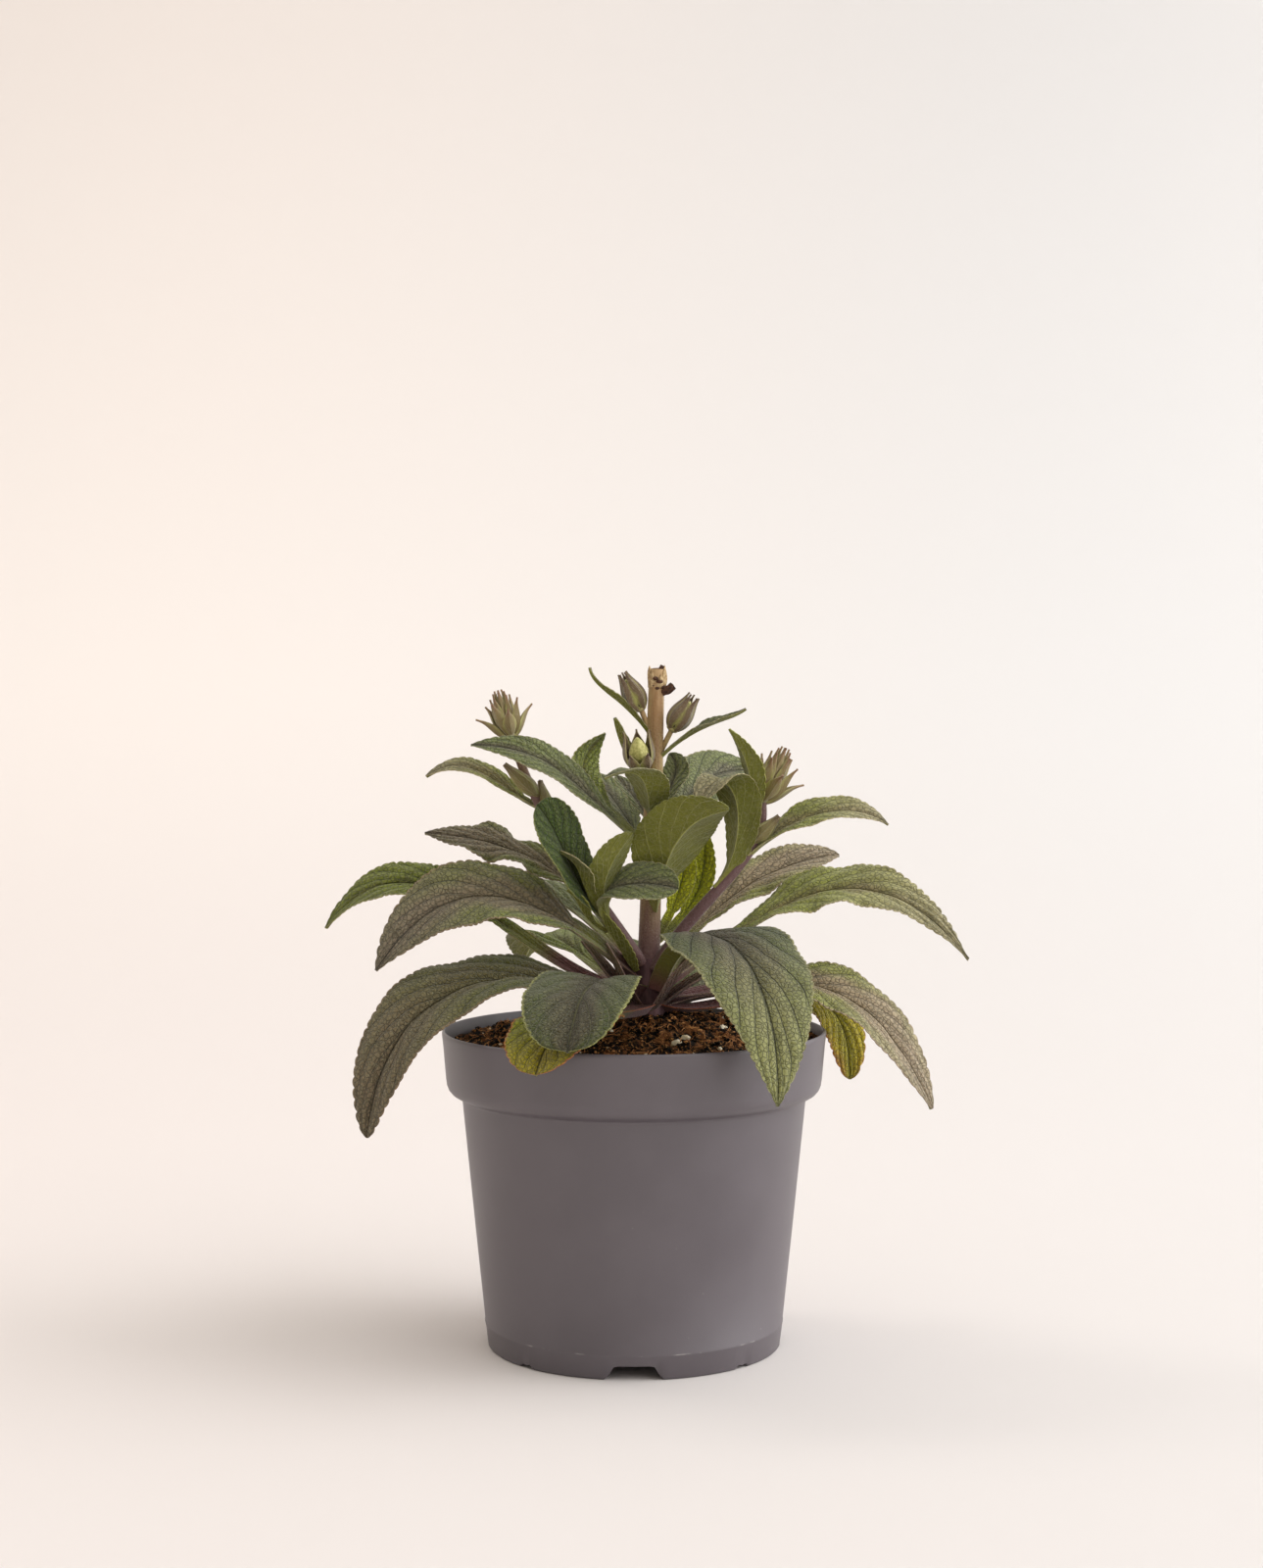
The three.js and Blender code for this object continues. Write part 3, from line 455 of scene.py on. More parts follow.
# Materials
class Finish:
    """A material, with short ways to wire its nodes"""

    def __init__(self, name, roughness=0.7, **constants):
        self.material = bpy.data.materials.new(name)
        self.material.use_nodes = True
        self.tree = self.material.node_tree
        self.shader = self.tree.nodes["Principled BSDF"]
        self.shader.inputs["Roughness"].default_value = roughness
        for socket, value in constants.items():
            self.shader.inputs[socket.replace("_", " ")].default_value = value
        self.place = self.node("ShaderNodeTexCoord").outputs["Object"]

    def node(self, kind, inputs=(), **settings):
        made = self.tree.nodes.new(kind)
        for key, value in settings.items():
            setattr(made, key, value)
        for key, value in dict(inputs).items():
            self.feed(made.inputs[key], value)
        return made

    def feed(self, socket, value):
        if isinstance(value, bpy.types.NodeSocket):
            self.tree.links.new(value, socket)
        elif socket.type == "RGBA" and len(value) == 3:
            socket.default_value = tone(*value)
        else:
            socket.default_value = value

    def math(self, operation, a, b=0.0):
        return self.node("ShaderNodeMath", {0: a, 1: b}, operation=operation).outputs[0]

    def add(self, a, b):
        return self.math("ADD", a, b)

    def less(self, a, b):
        return self.math("SUBTRACT", a, b)

    def times(self, a, b):
        return self.math("MULTIPLY", a, b)

    def mix(self, share, a, b):
        made = self.node("ShaderNodeMix", {"Factor": share}, data_type="RGBA")
        self.feed(made.inputs[6], a)
        self.feed(made.inputs[7], b)
        return made.outputs[2]

    def noise(self, scale, detail=3.0, rough=0.55, stretch=None):
        place = self.place
        if stretch:
            place = self.node("ShaderNodeMapping", {"Vector": place, "Scale": stretch}).outputs[0]
        values = {"Vector": place, "Scale": scale, "Detail": detail, "Roughness": rough}
        return self.node("ShaderNodeTexNoise", values).outputs["Fac"]

    def cells(self, scale, feature="F1"):
        values = {"Vector": self.place, "Scale": scale}
        return self.node("ShaderNodeTexVoronoi", values, feature=feature).outputs["Distance"]

    def range(self, value, low, high, to_low=0.0, to_high=1.0):
        values = {"Value": value, 1: low, 2: high, 3: to_low, 4: to_high}
        return self.node("ShaderNodeMapRange", values, interpolation_type="SMOOTHSTEP").outputs[0]

    def split(self, vector):
        return self.node("ShaderNodeSeparateXYZ", {0: vector}).outputs

    def bump(self, height, distance, strength=1.0):
        values = {"Height": height, "Distance": distance, "Strength": strength}
        made = self.node("ShaderNodeBump", values)
        self.feed(self.shader.inputs["Normal"], made.outputs[0])

    def colour(self, value):
        self.feed(self.shader.inputs["Base Color"], value)

    def roughness(self, value):
        self.feed(self.shader.inputs["Roughness"], value)


def leaf_coordinates(finish):
    """How far along the blade and out from the midrib, the veins, and the swells between them"""
    uv = finish.split(finish.node("ShaderNodeUVMap", uv_map="leaf").outputs[0])
    phase = finish.split(finish.node("ShaderNodeUVMap", uv_map="veins").outputs[0])[0]
    edge = finish.math("ABSOLUTE", finish.less(finish.times(uv[1], 2.0), 1.0))
    from_vein = finish.math("PINGPONG", phase, 0.5)
    veins = finish.range(from_vein, 0.06, 0.0)
    veins = finish.times(veins, finish.range(edge, 1.0, 0.8))
    veins = finish.times(veins, finish.range(uv[0], 0.0, 0.08))
    midrib = finish.range(edge, 0.035, 0.01)
    swells = finish.times(finish.range(from_vein, 0.08, 0.42), finish.range(edge, 0.02, 0.3))
    return uv[0], edge, finish.math("MAXIMUM", veins, midrib), swells


def petiole_shade(finish, along, colour, green, purple):
    """The petiole runs from green at the blade to purple at its root"""
    colour = finish.mix(finish.range(along, 0.05, -0.08), colour, green)
    return finish.mix(finish.range(along, -0.12, -0.3), colour, purple)


def leaf_upper(kind, margin, middle, rim, blush, vein, veined, hairy, old, tip):
    """The upper side: green at the margin, flushed along the middle, quilted and softly hairy, with painted
    highlight on the swells and painted shade in the net's grooves
    """
    finish = Finish(f"{kind} leaf, upper side", 0.6, Sheen_Weight=0.14, Sheen_Roughness=0.4,
                    Sheen_Tint=(0.95, 1.0, 0.98, 1.0), Specular_IOR_Level=0.35)
    along, edge, veins, swells = leaf_coordinates(finish)
    patches = finish.noise(38, 3)
    flush = finish.add(finish.less(1.15, edge), finish.times(finish.less(patches, 0.5), 1.6))
    colour = finish.mix(finish.range(flush, 1.0 - blush, 1.5 - blush), margin, middle)
    if tip:
        colour = finish.mix(finish.range(along, 0.3, 1.0, 0.0, 0.9), colour, tip)
    if old:
        worn = finish.times(finish.add(finish.times(edge, 0.6), along), patches)
        colour = finish.mix(finish.range(worn, 0.9 - old, 1.5 - old), colour, rim)
    shades = finish.noise(120, 4, 0.6)
    colour = finish.mix(finish.range(shades, 0.42, 0.7, 0.0, 0.3), colour, (62, 62, 30))
    net = finish.range(finish.cells(480, "DISTANCE_TO_EDGE"), 0.14, 0.0)
    fuzz = finish.noise(1150, 3, 0.7)
    # Painted highlight: the swells between the veins are made lighter
    colour = finish.mix(finish.times(swells, 0.07), colour, (184, 180, 138))
    # Painted shade: the grooves of the fine vein net are made darker
    colour = finish.mix(finish.times(net, 0.36), colour, (46, 48, 22))
    # Where the row's vein colour is DARK_VEIN, the darker veins are partly painted shade in their grooves
    colour = finish.mix(finish.times(veins, veined), colour, vein)
    colour = finish.mix(finish.range(fuzz, 0.48, 0.72, 0.0, hairy), colour, (172, 168, 136))
    colour = petiole_shade(finish, along, colour, (128, 130, 58), (116, 72, 70))
    finish.colour(finish.mix(finish.range(edge, 0.93, 1.0, 0.0, 0.8), colour, rim))
    height = finish.less(finish.times(fuzz, 0.3), finish.times(veins, 0.9))
    height = finish.add(height, finish.times(swells, 0.3))
    finish.bump(finish.less(height, finish.times(net, 0.45)), 0.0013, 0.9)
    return finish.material


def leaf_under():
    """The underside: brighter and yellower, partly its own colour and partly painted glow of light shining
    through, with pale raised veins
    """
    finish = Finish("leaf underside", 0.55, Sheen_Weight=0.25, Sheen_Roughness=0.5, Specular_IOR_Level=0.35)
    along, _, veins, _ = leaf_coordinates(finish)
    pale = (180, 178, 98)
    net = finish.cells(420, "DISTANCE_TO_EDGE")
    fuzz = finish.noise(900, 3, 0.7)
    shades = finish.range(finish.noise(45, 3), 0.35, 0.7, 0.0, 0.55)
    # Partly painted glow: the yellow-green is brightened for light shining through the leaf
    colour = finish.mix(shades, (112, 114, 28), (84, 86, 24))
    colour = finish.mix(finish.range(net, 0.1, 0.0, 0.0, 0.16), colour, pale)
    colour = finish.mix(finish.times(veins, 0.75), colour, pale)
    colour = finish.mix(finish.range(fuzz, 0.5, 0.75, 0.0, 0.3), colour, (186, 186, 156))
    finish.colour(petiole_shade(finish, along, colour, (134, 132, 58), (120, 74, 74)))
    finish.bump(finish.add(veins, finish.range(net, 0.1, 0.0, 0.0, 0.4)), 0.0006, 0.8)
    return finish.material


def stem_finish(name, purple_below):
    """The stem's skin: olive flushed with purple and speckled, dry and tan at its cut top"""
    finish = Finish(name, 0.6, Sheen_Weight=0.3, Sheen_Roughness=0.4)
    height = finish.split(finish.place)[2]
    streaks = finish.noise(260, 4, 0.65, stretch=(1, 1, 0.12))
    specks = finish.cells(900)
    olive = finish.mix(finish.range(streaks, 0.35, 0.65), (172, 150, 94), (150, 118, 78))
    purple = finish.mix(streaks, (92, 62, 62), (122, 92, 92))
    tan = finish.mix(finish.range(streaks, 0.3, 0.7), (214, 186, 138), (158, 122, 80))
    low = finish.range(height, purple_below + 0.03, purple_below - 0.03)
    colour = finish.mix(low, olive, purple)
    colour = finish.mix(finish.range(specks, 0.32, 0.12, 0.0, 0.6), colour, (74, 50, 38))
    dry = finish.add(height, finish.times(streaks, 0.012))
    finish.colour(finish.mix(finish.range(dry, 0.268, 0.294), colour, tan))
    finish.bump(finish.add(streaks, finish.times(specks, 0.4)), 0.0006, 0.7)
    return finish.material


def crown_finish():
    finish = Finish("crown skin", 0.6, Sheen_Weight=0.2)
    streaks = finish.noise(300, 4, 0.6, stretch=(1, 1, 0.3))
    finish.colour(finish.mix(finish.range(streaks, 0.3, 0.7), (74, 44, 50), (118, 82, 86)))
    finish.bump(streaks, 0.0008, 0.8)
    return finish.material


def bract_finish(name, margin, middle, tip):
    """Sepals and bracts: brownish along the middle, olive at the margins and the foot, darker at the tip"""
    finish = Finish(name, 0.6, Sheen_Weight=0.3, Sheen_Roughness=0.4)
    along, edge, veins, _ = leaf_coordinates(finish)
    patches = finish.noise(300, 4, 0.6)
    fuzz = finish.noise(1100, 3, 0.7)
    inner = finish.less(finish.add(patches, finish.times(along, 0.3)), edge)
    colour = finish.mix(finish.range(inner, -0.45, 0.25), margin, middle)
    colour = finish.mix(finish.times(veins, 0.3), colour, margin)
    colour = finish.mix(finish.range(along, 0.6, 1.0, 0.0, 0.85), colour, tip)
    colour = finish.mix(finish.range(edge, 0.86, 1.0, 0.0, 0.7), colour, (168, 152, 108))
    finish.colour(finish.mix(finish.range(fuzz, 0.5, 0.75, 0.0, 0.3), colour, (190, 180, 150)))
    finish.bump(finish.add(patches, veins), 0.0004, 0.6)
    return finish.material


def plain_finish(name, first, second, scale, roughness, depth, sheen):
    finish = Finish(name, roughness, Sheen_Weight=sheen)
    grain = finish.noise(scale, 4, 0.6)
    finish.colour(finish.mix(finish.range(grain, 0.3, 0.7), first, second))
    finish.bump(grain, depth, 0.6)
    return finish.material


def pot_finish():
    """Matte moulded plastic: faint mottling, scuffs along the seam, specks of dust and a fine grain"""
    finish = Finish("pot plastic", 0.42, Specular_IOR_Level=0.9)
    height = finish.split(finish.place)[2]
    mottle = finish.noise(28, 4, 0.5)
    grain = finish.noise(2600, 2, 0.5)
    colour = finish.mix(finish.range(mottle, 0.3, 0.7), (85, 78, 84), (92, 85, 91))
    from_seam = finish.math("ABSOLUTE", finish.less(height, SEAM_HEIGHT * METRE))
    rubbed = finish.times(finish.range(finish.noise(90, 3), 0.56, 0.7), 0.6)
    scuff = finish.times(finish.range(from_seam, 0.0004, 0.0001), rubbed)
    dust = finish.range(finish.cells(210), 0.07, 0.03, 0.0, 0.45)
    dust = finish.times(dust, finish.range(finish.noise(22, 2), 0.58, 0.66))
    finish.colour(finish.mix(finish.math("MAXIMUM", scuff, dust), colour, (176, 172, 168)))
    finish.roughness(finish.range(mottle, 0.2, 0.8, 0.38, 0.48))
    finish.bump(grain, 0.0001, 0.35)
    return finish.material


def soil_finish():
    """Dark gaps, partly painted shade where the lumps dip, brown lumps and light fibres"""
    finish = Finish("potting soil", 0.95, Specular_IOR_Level=0.15)
    lumps = finish.noise(190, 6, 0.7)
    fine = finish.noise(700, 4, 0.7)
    # Near black where the lumps are low: the soil's own dark colour deepened by painted shade
    colour = finish.mix(finish.range(lumps, 0.49, 0.6), (5, 2, 1), (130, 84, 48))
    finish.colour(finish.mix(finish.range(fine, 0.57, 0.65, 0.0, 0.9), colour, (226, 164, 98)))
    finish.bump(finish.add(lumps, fine), 0.0016, 0.9)
    return finish.material


def all_finishes():
    finishes = {f"{kind}_upper": leaf_upper(kind, *row) for kind, row in UPPER_SIDES.items()}
    finishes["under"] = leaf_under()
    finishes["stem"] = stem_finish("stem skin", 0.195)
    finishes["shoot"] = stem_finish("shoot skin", 0.26)
    finishes["crown"] = crown_finish()
    for name, colours in BRACT_COLOURS.items():
        finishes[name] = bract_finish(name, *colours)
    for name, row in PLAIN_FINISHES.items():
        finishes[name] = plain_finish(name, *row)
    finishes["pot"] = pot_finish()
    finishes["soil"] = soil_finish()
    return finishes


FINISHES = all_finishes()
FINISH_ORDER = list(FINISHES)


# Shaping
def new_shape():
    bm = bmesh.new()
    bm.loops.layers.uv.new("leaf")
    bm.loops.layers.uv.new("veins")
    return bm


def paint(faces, finish):
    for face in faces:
        face.material_index = FINISH_ORDER.index(finish)


def join(bm, part):
    """Adds a part that was shaped on its own to a piece"""
    mesh = bpy.data.meshes.new("part")
    part.to_mesh(mesh)
    part.free()
    bm.from_mesh(mesh)
    bpy.data.meshes.remove(mesh)


def in_scene(name, data):
    """A new object at the origin, linked to the scene"""
    made = bpy.data.objects.new(name, data)
    bpy.context.scene.collection.objects.link(made)
    return made


def finished(name, bm, slot, *nodes):
    """The piece's object: in metres, smooth, with only the finishes it uses, on the fixed body"""
    bmesh.ops.scale(bm, vec=(METRE, METRE, METRE), verts=bm.verts)
    used = sorted({face.material_index for face in bm.faces})
    for face in bm.faces:
        face.smooth = True
        face.material_index = used.index(face.material_index)
    mesh = bpy.data.meshes.new(name)
    bm.to_mesh(mesh)
    bm.free()
    for index in used:
        mesh.materials.append(FINISHES[FINISH_ORDER[index]])
    mesh.set_sharp_from_angle(angle=math.radians(SHARP_ANGLE))
    made = in_scene(name, mesh)
    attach(made, "root")
    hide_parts(*nodes)
    return made


class Leaf:
    """A blade from its row of numbers: the midrib is a curve, and the halves rise from it, arch and wave"""

    def __init__(self, row, root_half, thickness, tooth=0.0, quilt=0.0):
        *spine, self.half, self.stalk, self.peak, self.point, self.fold, self.edge = row[:10]
        self.roll_root, self.roll_tip, self.wave, self.ripples = row[10:]
        self.root_half = root_half
        self.thickness = thickness
        self.keel = self.half * KEEL_SHARE
        self.tooth = tooth
        self.quilt = quilt
        self.curve = cubic(spine)
        heading = Vector(spine[3]) - Vector(spine[0])
        self.left = Vector((-heading.y, heading.x, 0))
        marks = [on_cubic(self.curve, k / 12) for k in range(13)]
        self.length = sum((b - a).length for a, b in zip(marks, marks[1:]))
        self.teeth = max(3, round(self.length * (1 - self.stalk) / TOOTH_SPACING))
        self.stations = {}

    def blade_share(self, along):
        """How far along the blade: zero at the end of the petiole and one at the tip"""
        return (along - self.stalk) / (1 - self.stalk)

    def half_width(self, along):
        t = clamped(self.blade_share(along))
        fall = self.point * (1 - self.peak) / self.peak
        blade = self.half * (t / self.peak) ** self.point * ((1 - t) / (1 - self.peak)) ** fall
        petiole = min(self.half * WING_SHARE, WING_LIMIT)
        wing = mixed(self.root_half, petiole, min(1, along * 5)) * (1 - t) ** 0.8
        return max(blade, wing, 0.2 + self.half * 0.02)

    def station(self, along):
        """The midrib's point, the way across, the way up and half the width"""
        if along not in self.stations:
            tangent = along_cubic(self.curve, along)
            level = (self.left - tangent * self.left.dot(tangent)).normalized()
            up = tangent.cross(level)
            roll = math.radians(mixed(self.roll_root, self.roll_tip, along))
            side = level * math.cos(roll) + up * math.sin(roll)
            normal = up * math.cos(roll) - level * math.sin(roll)
            self.stations[along] = (on_cubic(self.curve, along), side, normal, self.half_width(along))
        return self.stations[along]

    def rows(self):
        """The number of rows, and where the row at a share of them lies, so that each tooth has its own"""
        petiole = PETIOLE_ROWS if self.stalk else 0
        total = petiole + self.teeth * ROWS_PER_TOOTH

        def along(share):
            row = share * total
            if row < petiole:
                return self.stalk * row / petiole
            return mixed(self.stalk, 1, (row - petiole) / (total - petiole))

        return total, along

    def vein_phase(self, along, across):
        """Whole numbers fall on the side veins, which sweep towards the tip"""
        wander = 0.3 * noise.noise(Vector((self.half * along * 0.3, across * 1.5, self.length)))
        sides = 0.5 if across > 0 else 0.0
        sweep = VEIN_SWEEP * abs(across) ** VEIN_CURVE
        return (self.blade_share(along) - sweep) * SIDE_VEINS + wander + sides

    def waves(self, blade, edge, sign):
        """The rise of the long waves and the short curls that grow towards the margin"""
        swell = math.sin(math.pi * min(1, blade * 1.2))
        long_wave = edge**2 * math.sin(2 * math.pi * self.ripples * blade + 1.9 * sign)
        short_wave = 0.2 * edge**3 * math.sin(5.3 * math.pi * self.ripples * blade + 0.7 * sign)
        return self.wave * swell * (long_wave + short_wave)

    def quilting(self, along, across, point):
        """The rise between the veins, the groove of the midrib and broad uneven dents"""
        blade, edge = max(0.0, self.blade_share(along)), abs(across)
        fade = min(1, edge * 5) * (1 - edge) ** 0.4 * min(1, blade * 6) * (1 - min(blade, 1)) ** 0.4
        between = (abs(math.sin(math.pi * self.vein_phase(along, across))) ** 0.6 - 0.7) * fade
        groove = 0.6 * (1 - smooth_step(edge, 0, 0.12)) * min(1, blade * 6)
        dents = 0.5 * noise.noise(point * 0.09 + Vector((across * 2, 0, 0))) * min(1, blade * 4)
        return self.quilt * (between - groove + dents)

    def notch(self, along, edge, point, half):
        """How far the margin steps back between two teeth"""
        blade = self.blade_share(along)
        scallop = 1 - abs(math.sin(math.pi * self.teeth * blade)) ** 0.7
        scallop *= 1 + 0.9 * noise.noise(point * 0.23)
        fade = smooth_step(edge, 0.8, 1) * min(1, max(0.0, blade) * 10) * min(1, half / 4)
        return self.tooth * scallop * fade

    def place(self, along, across, under=False):
        """The point of the blade at a share of its length and of its half width"""
        point, side, normal, half = self.station(along)
        edge = abs(across)
        sign = math.copysign(1, across) if across else 0
        slope = math.radians(mixed(self.fold, self.edge, edge / 2))
        rise = self.waves(max(0.0, self.blade_share(along)), edge, sign)
        rise += self.quilting(along, across, point)
        reach = sign * (edge * half - self.notch(along, edge, point, half))
        place = point + side * (reach * math.cos(slope)) + normal * (abs(reach) * math.sin(slope) + rise)
        if under:
            thick = self.thickness * (1 - 0.55 * edge**2)
            keel = self.keel * (1 - edge) ** 1.2 * max(0.1, 1 - along / 0.8)
            place -= normal * ((thick + keel) * math.cos(slope))
            place += side * (sign * thick * math.sin(slope))
        return place


def add_leaf(bm, leaf, width_steps, upper, under, place=None):
    """Two faces and the rim between them, from one grid"""
    part = new_shape()
    length_steps, along_at = leaf.rows()
    lower = bmesh.ops.create_grid(part, x_segments=length_steps, y_segments=width_steps, size=1)["verts"]
    for vertex in lower:
        vertex.co.x = round(along_at(vertex.co.x * 0.5 + 0.5), 5)
        vertex.co.y = round(vertex.co.y, 5)
    for face in part.faces:
        middle = face.calc_center_median()
        for loop in face.loops:
            along, across = loop.vert.co.x, loop.vert.co.y
            phase = leaf.vein_phase(along, across or math.copysign(1e-4, middle.y))
            loop[part.loops.layers.uv["leaf"]].uv = (leaf.blade_share(along), across * 0.5 + 0.5)
            loop[part.loops.layers.uv["veins"]].uv = (phase, 0)
    sheet = list(part.faces)
    raised = bmesh.ops.extrude_face_region(part, geom=sheet, use_keep_orig=True)["geom"]
    upper_vertices = [element for element in raised if isinstance(element, bmesh.types.BMVert)]
    for vertices, is_under in ((lower, True), (upper_vertices, False)):
        for vertex in vertices:
            vertex.co = leaf.place(vertex.co.x, vertex.co.y, is_under)
    paint(part.faces, upper)
    paint(sheet, under)
    bmesh.ops.recalc_face_normals(part, faces=part.faces)
    if place:
        bmesh.ops.transform(part, matrix=place, verts=part.verts)
    join(bm, part)


def around(tangent, turn):
    """The direction that stands out from a stem at a turn round it"""
    side = (Vector((1, 0, 0)) - tangent * tangent.x).normalized()
    return side * math.cos(turn) + tangent.cross(side) * math.sin(turn)


def add_tube(bm, curve, radius_at, sides, steps, finish, ridge=0.0):
    """A closed round stem along a cubic curve"""
    part = new_shape()
    bmesh.ops.create_grid(part, x_segments=steps, y_segments=sides, size=1)
    for vertex in part.verts:
        along, turn = vertex.co.x * 0.5 + 0.5, math.pi * vertex.co.y
        radius = radius_at(along) * (1 + ridge * math.sin(5 * turn + 4 * along))
        vertex.co = on_cubic(curve, along) + around(along_cubic(curve, along), turn) * radius
    bmesh.ops.remove_doubles(part, verts=part.verts, dist=1e-4)
    bmesh.ops.holes_fill(part, edges=[edge for edge in part.edges if edge.is_boundary], sides=0)
    paint(part.faces, finish)
    bmesh.ops.recalc_face_normals(part, faces=part.faces)
    join(bm, part)


def straight(start, end):
    start, end = Vector(start), Vector(end)
    return start, start.lerp(end, 1 / 3), start.lerp(end, 2 / 3), end


class Scatter:
    """Small bits such as hairs and crumbs, shaped a bunch at a time and then added to a piece"""

    def __init__(self, bm):
        self.bm = bm
        self.bunch = new_shape()

    def close(self):
        join(self.bm, self.bunch)
        self.bunch = new_shape()

    def ready(self):
        if len(self.bunch.verts) > BUNCH_LIMIT:
            self.close()
        return self.bunch

    def hair(self, root, direction, length, finish):
        """A tapered hair of three sides"""
        turn = Vector((0, 0, 1)).rotation_difference(direction).to_matrix().to_4x4()
        place = Matrix.Translation(root + direction.normalized() * (length * 0.45)) @ turn
        hair = bmesh.ops.create_cone(self.ready(), cap_ends=True, cap_tris=True, segments=3, depth=length,
                                     radius1=HAIR_RADIUS, radius2=0, matrix=place)["verts"]
        paint({face for vertex in hair for face in vertex.link_faces}, finish)

    def crumb(self, finish, size, spot, squash=0.7):
        x, y = spot
        ground = Vector((x, y, crumbled_height(x, y)))
        axis = Vector((chance.random(), chance.random(), 1))
        place = Matrix.Translation(ground) @ Matrix.Rotation(chance.uniform(0, 6.28), 4, axis)
        crumb = bmesh.ops.create_icosphere(self.ready(), subdivisions=1, radius=size, matrix=place)["verts"]
        for vertex in crumb:
            away = vertex.co - ground
            away *= 1 + 0.45 * noise.noise(vertex.co * (1.3 / size))
            vertex.co = ground + Vector((away.x, away.y, away.z * squash + size * 0.15))
        paint({face for vertex in crumb for face in vertex.link_faces}, finish)


def jitter(amount):
    return Vector([chance.uniform(-amount, amount) for _ in range(3)])


def add_fringe(bm, leaf, spacing, length, finish, place=None, start=0.0, end=1.0):
    """Short hairs along both margins"""
    hairs = Scatter(bm)
    count = int(leaf.length * (end - start) / spacing)
    for k in range(count):
        for sign in (-1, 1):
            along = start + (end - start) * (k + chance.random()) / count
            root = leaf.place(along, 0.97 * sign)
            out = (leaf.place(along, 1.0 * sign) - root).normalized() + jitter(0.7)
            if place:
                root, out = place @ root, place.to_3x3() @ out
            hairs.hair(root, out, length * chance.uniform(0.5, 1.1), finish)
    hairs.close()


def add_stem_hairs(bm, curve, radius_at, count, length, finish):
    hairs = Scatter(bm)
    for _ in range(count):
        along = chance.random()
        turn = chance.uniform(0, 2 * math.pi)
        spoke = around(along_cubic(curve, along), turn)
        root = on_cubic(curve, along) + spoke * radius_at(along)
        hairs.hair(root, spoke + jitter(0.4), length * chance.uniform(0.5, 1.2), finish)
    hairs.close()


def add_lathe(bm, profile, segments, finish, centre=(0, 0), shape=None):
    """A closed solid that is spun round an upright axis from points of a radius and a height"""
    part = new_shape()
    vertices = [part.verts.new((radius, 0, height)) for radius, height in profile]
    for a, b in zip(vertices, vertices[1:]):
        part.edges.new((a, b))
    bmesh.ops.spin(part, geom=list(part.verts) + list(part.edges), cent=(0, 0, 0), axis=(0, 0, 1),
                   angle=2 * math.pi, steps=segments, use_merge=True)
    bmesh.ops.remove_doubles(part, verts=part.verts, dist=1e-4)
    for vertex in part.verts:
        if shape:
            vertex.co = shape(vertex.co)
        vertex.co += Vector((*centre, 0))
    paint(part.faces, finish)
    bmesh.ops.recalc_face_normals(part, faces=part.faces)
    join(bm, part)


def add_ball(bm, radius, sides, rings, finish, place):
    part = new_shape()
    bmesh.ops.create_uvsphere(part, u_segments=sides, v_segments=rings, radius=radius, matrix=place)
    paint(part.faces, finish)
    join(bm, part)


# Pot
def foot_lift(x, y):
    """How far the foot's edge is raised by the notches and slits at a place round it"""
    turn = math.degrees(math.atan2(x, -y)) % (360 / NOTCHES)
    turn = min(turn, 360 / NOTCHES - turn)
    from_notch = math.radians(turn) * BASE_RADIUS
    slope = (NOTCH_BOTTOM - NOTCH_TOP) / 2
    notch = NOTCH_HEIGHT * clamped((NOTCH_BOTTOM / 2 - from_notch) / slope)
    from_slit = abs(math.radians(turn - SLIT_ANGLE) * BASE_RADIUS)
    slit = SLIT_HEIGHT * clamped((SLIT_WIDTH / 2 - from_slit) / SLIT_SLOPE)
    return max(notch, slit)


def pot_piece():
    outer_slope = (SHOULDER_RADIUS - BASE_RADIUS) / SHOULDER
    inner_floor = FLOOR_UNDERSIDE + WALL

    def outside(height):
        return BASE_RADIUS + outer_slope * height

    foot_outer = BASE_RADIUS - FOOT_SET_IN
    foot_inner = foot_outer - FOOT_WIDTH
    profile = [
        (0, FLOOR_UNDERSIDE),
        (foot_inner, FLOOR_UNDERSIDE),
        (foot_inner, 3),
        (foot_inner, 0.3),
        (foot_inner + 0.3, 0),
        (foot_outer, 0),
        (BASE_RADIUS - 0.3, 0.3),
        (outside(1), 1),
        (outside(SEAM_HEIGHT) - 0.02, SEAM_HEIGHT - 0.5),
        (outside(SEAM_HEIGHT) + 0.12, SEAM_HEIGHT),
        (outside(SEAM_HEIGHT) - 0.1, SEAM_HEIGHT + 0.4),
        (outside(50), 50),
        (outside(SHOULDER - 1.5), SHOULDER - 1.5),
        (outside(SHOULDER), SHOULDER - 0.4),
        (SHOULDER_RADIUS + 0.9, SHOULDER + 0.25),
        *SHOULDER_CURVE,
        (COLLAR_FOOT_RADIUS, COLLAR_FOOT),
        COLLAR_MIDDLE,
        (RIM_RADIUS - 0.05, POT_HEIGHT - 2.2),
        (RIM_RADIUS, POT_HEIGHT - 1),
        (RIM_RADIUS - 0.2, POT_HEIGHT - 0.3),
        (RIM_RADIUS - 0.65, POT_HEIGHT),
        (RIM_RADIUS - WALL + 0.2, POT_HEIGHT - 0.1),
        (RIM_RADIUS - WALL - 0.1, POT_HEIGHT - 0.8),
        (COLLAR_FOOT_RADIUS - WALL, COLLAR_FOOT),
        INNER_SHOULDER,
        (outside(SHOULDER) - WALL, SHOULDER + WALL),
        (outside(inner_floor) - WALL, inner_floor),
        (0, inner_floor),
    ]

    def notched(place):
        if place.z > FLOOR_UNDERSIDE - 0.5 or math.hypot(place.x, place.y) < foot_inner - 1:
            return place
        return Vector((place.x, place.y, max(place.z, foot_lift(place.x, place.y))))

    bm = new_shape()
    add_lathe(bm, profile, POT_SEGMENTS, "pot", shape=notched)
    drill_floor(finished("pot_shell", bm, "pot_plastic", "pot"))


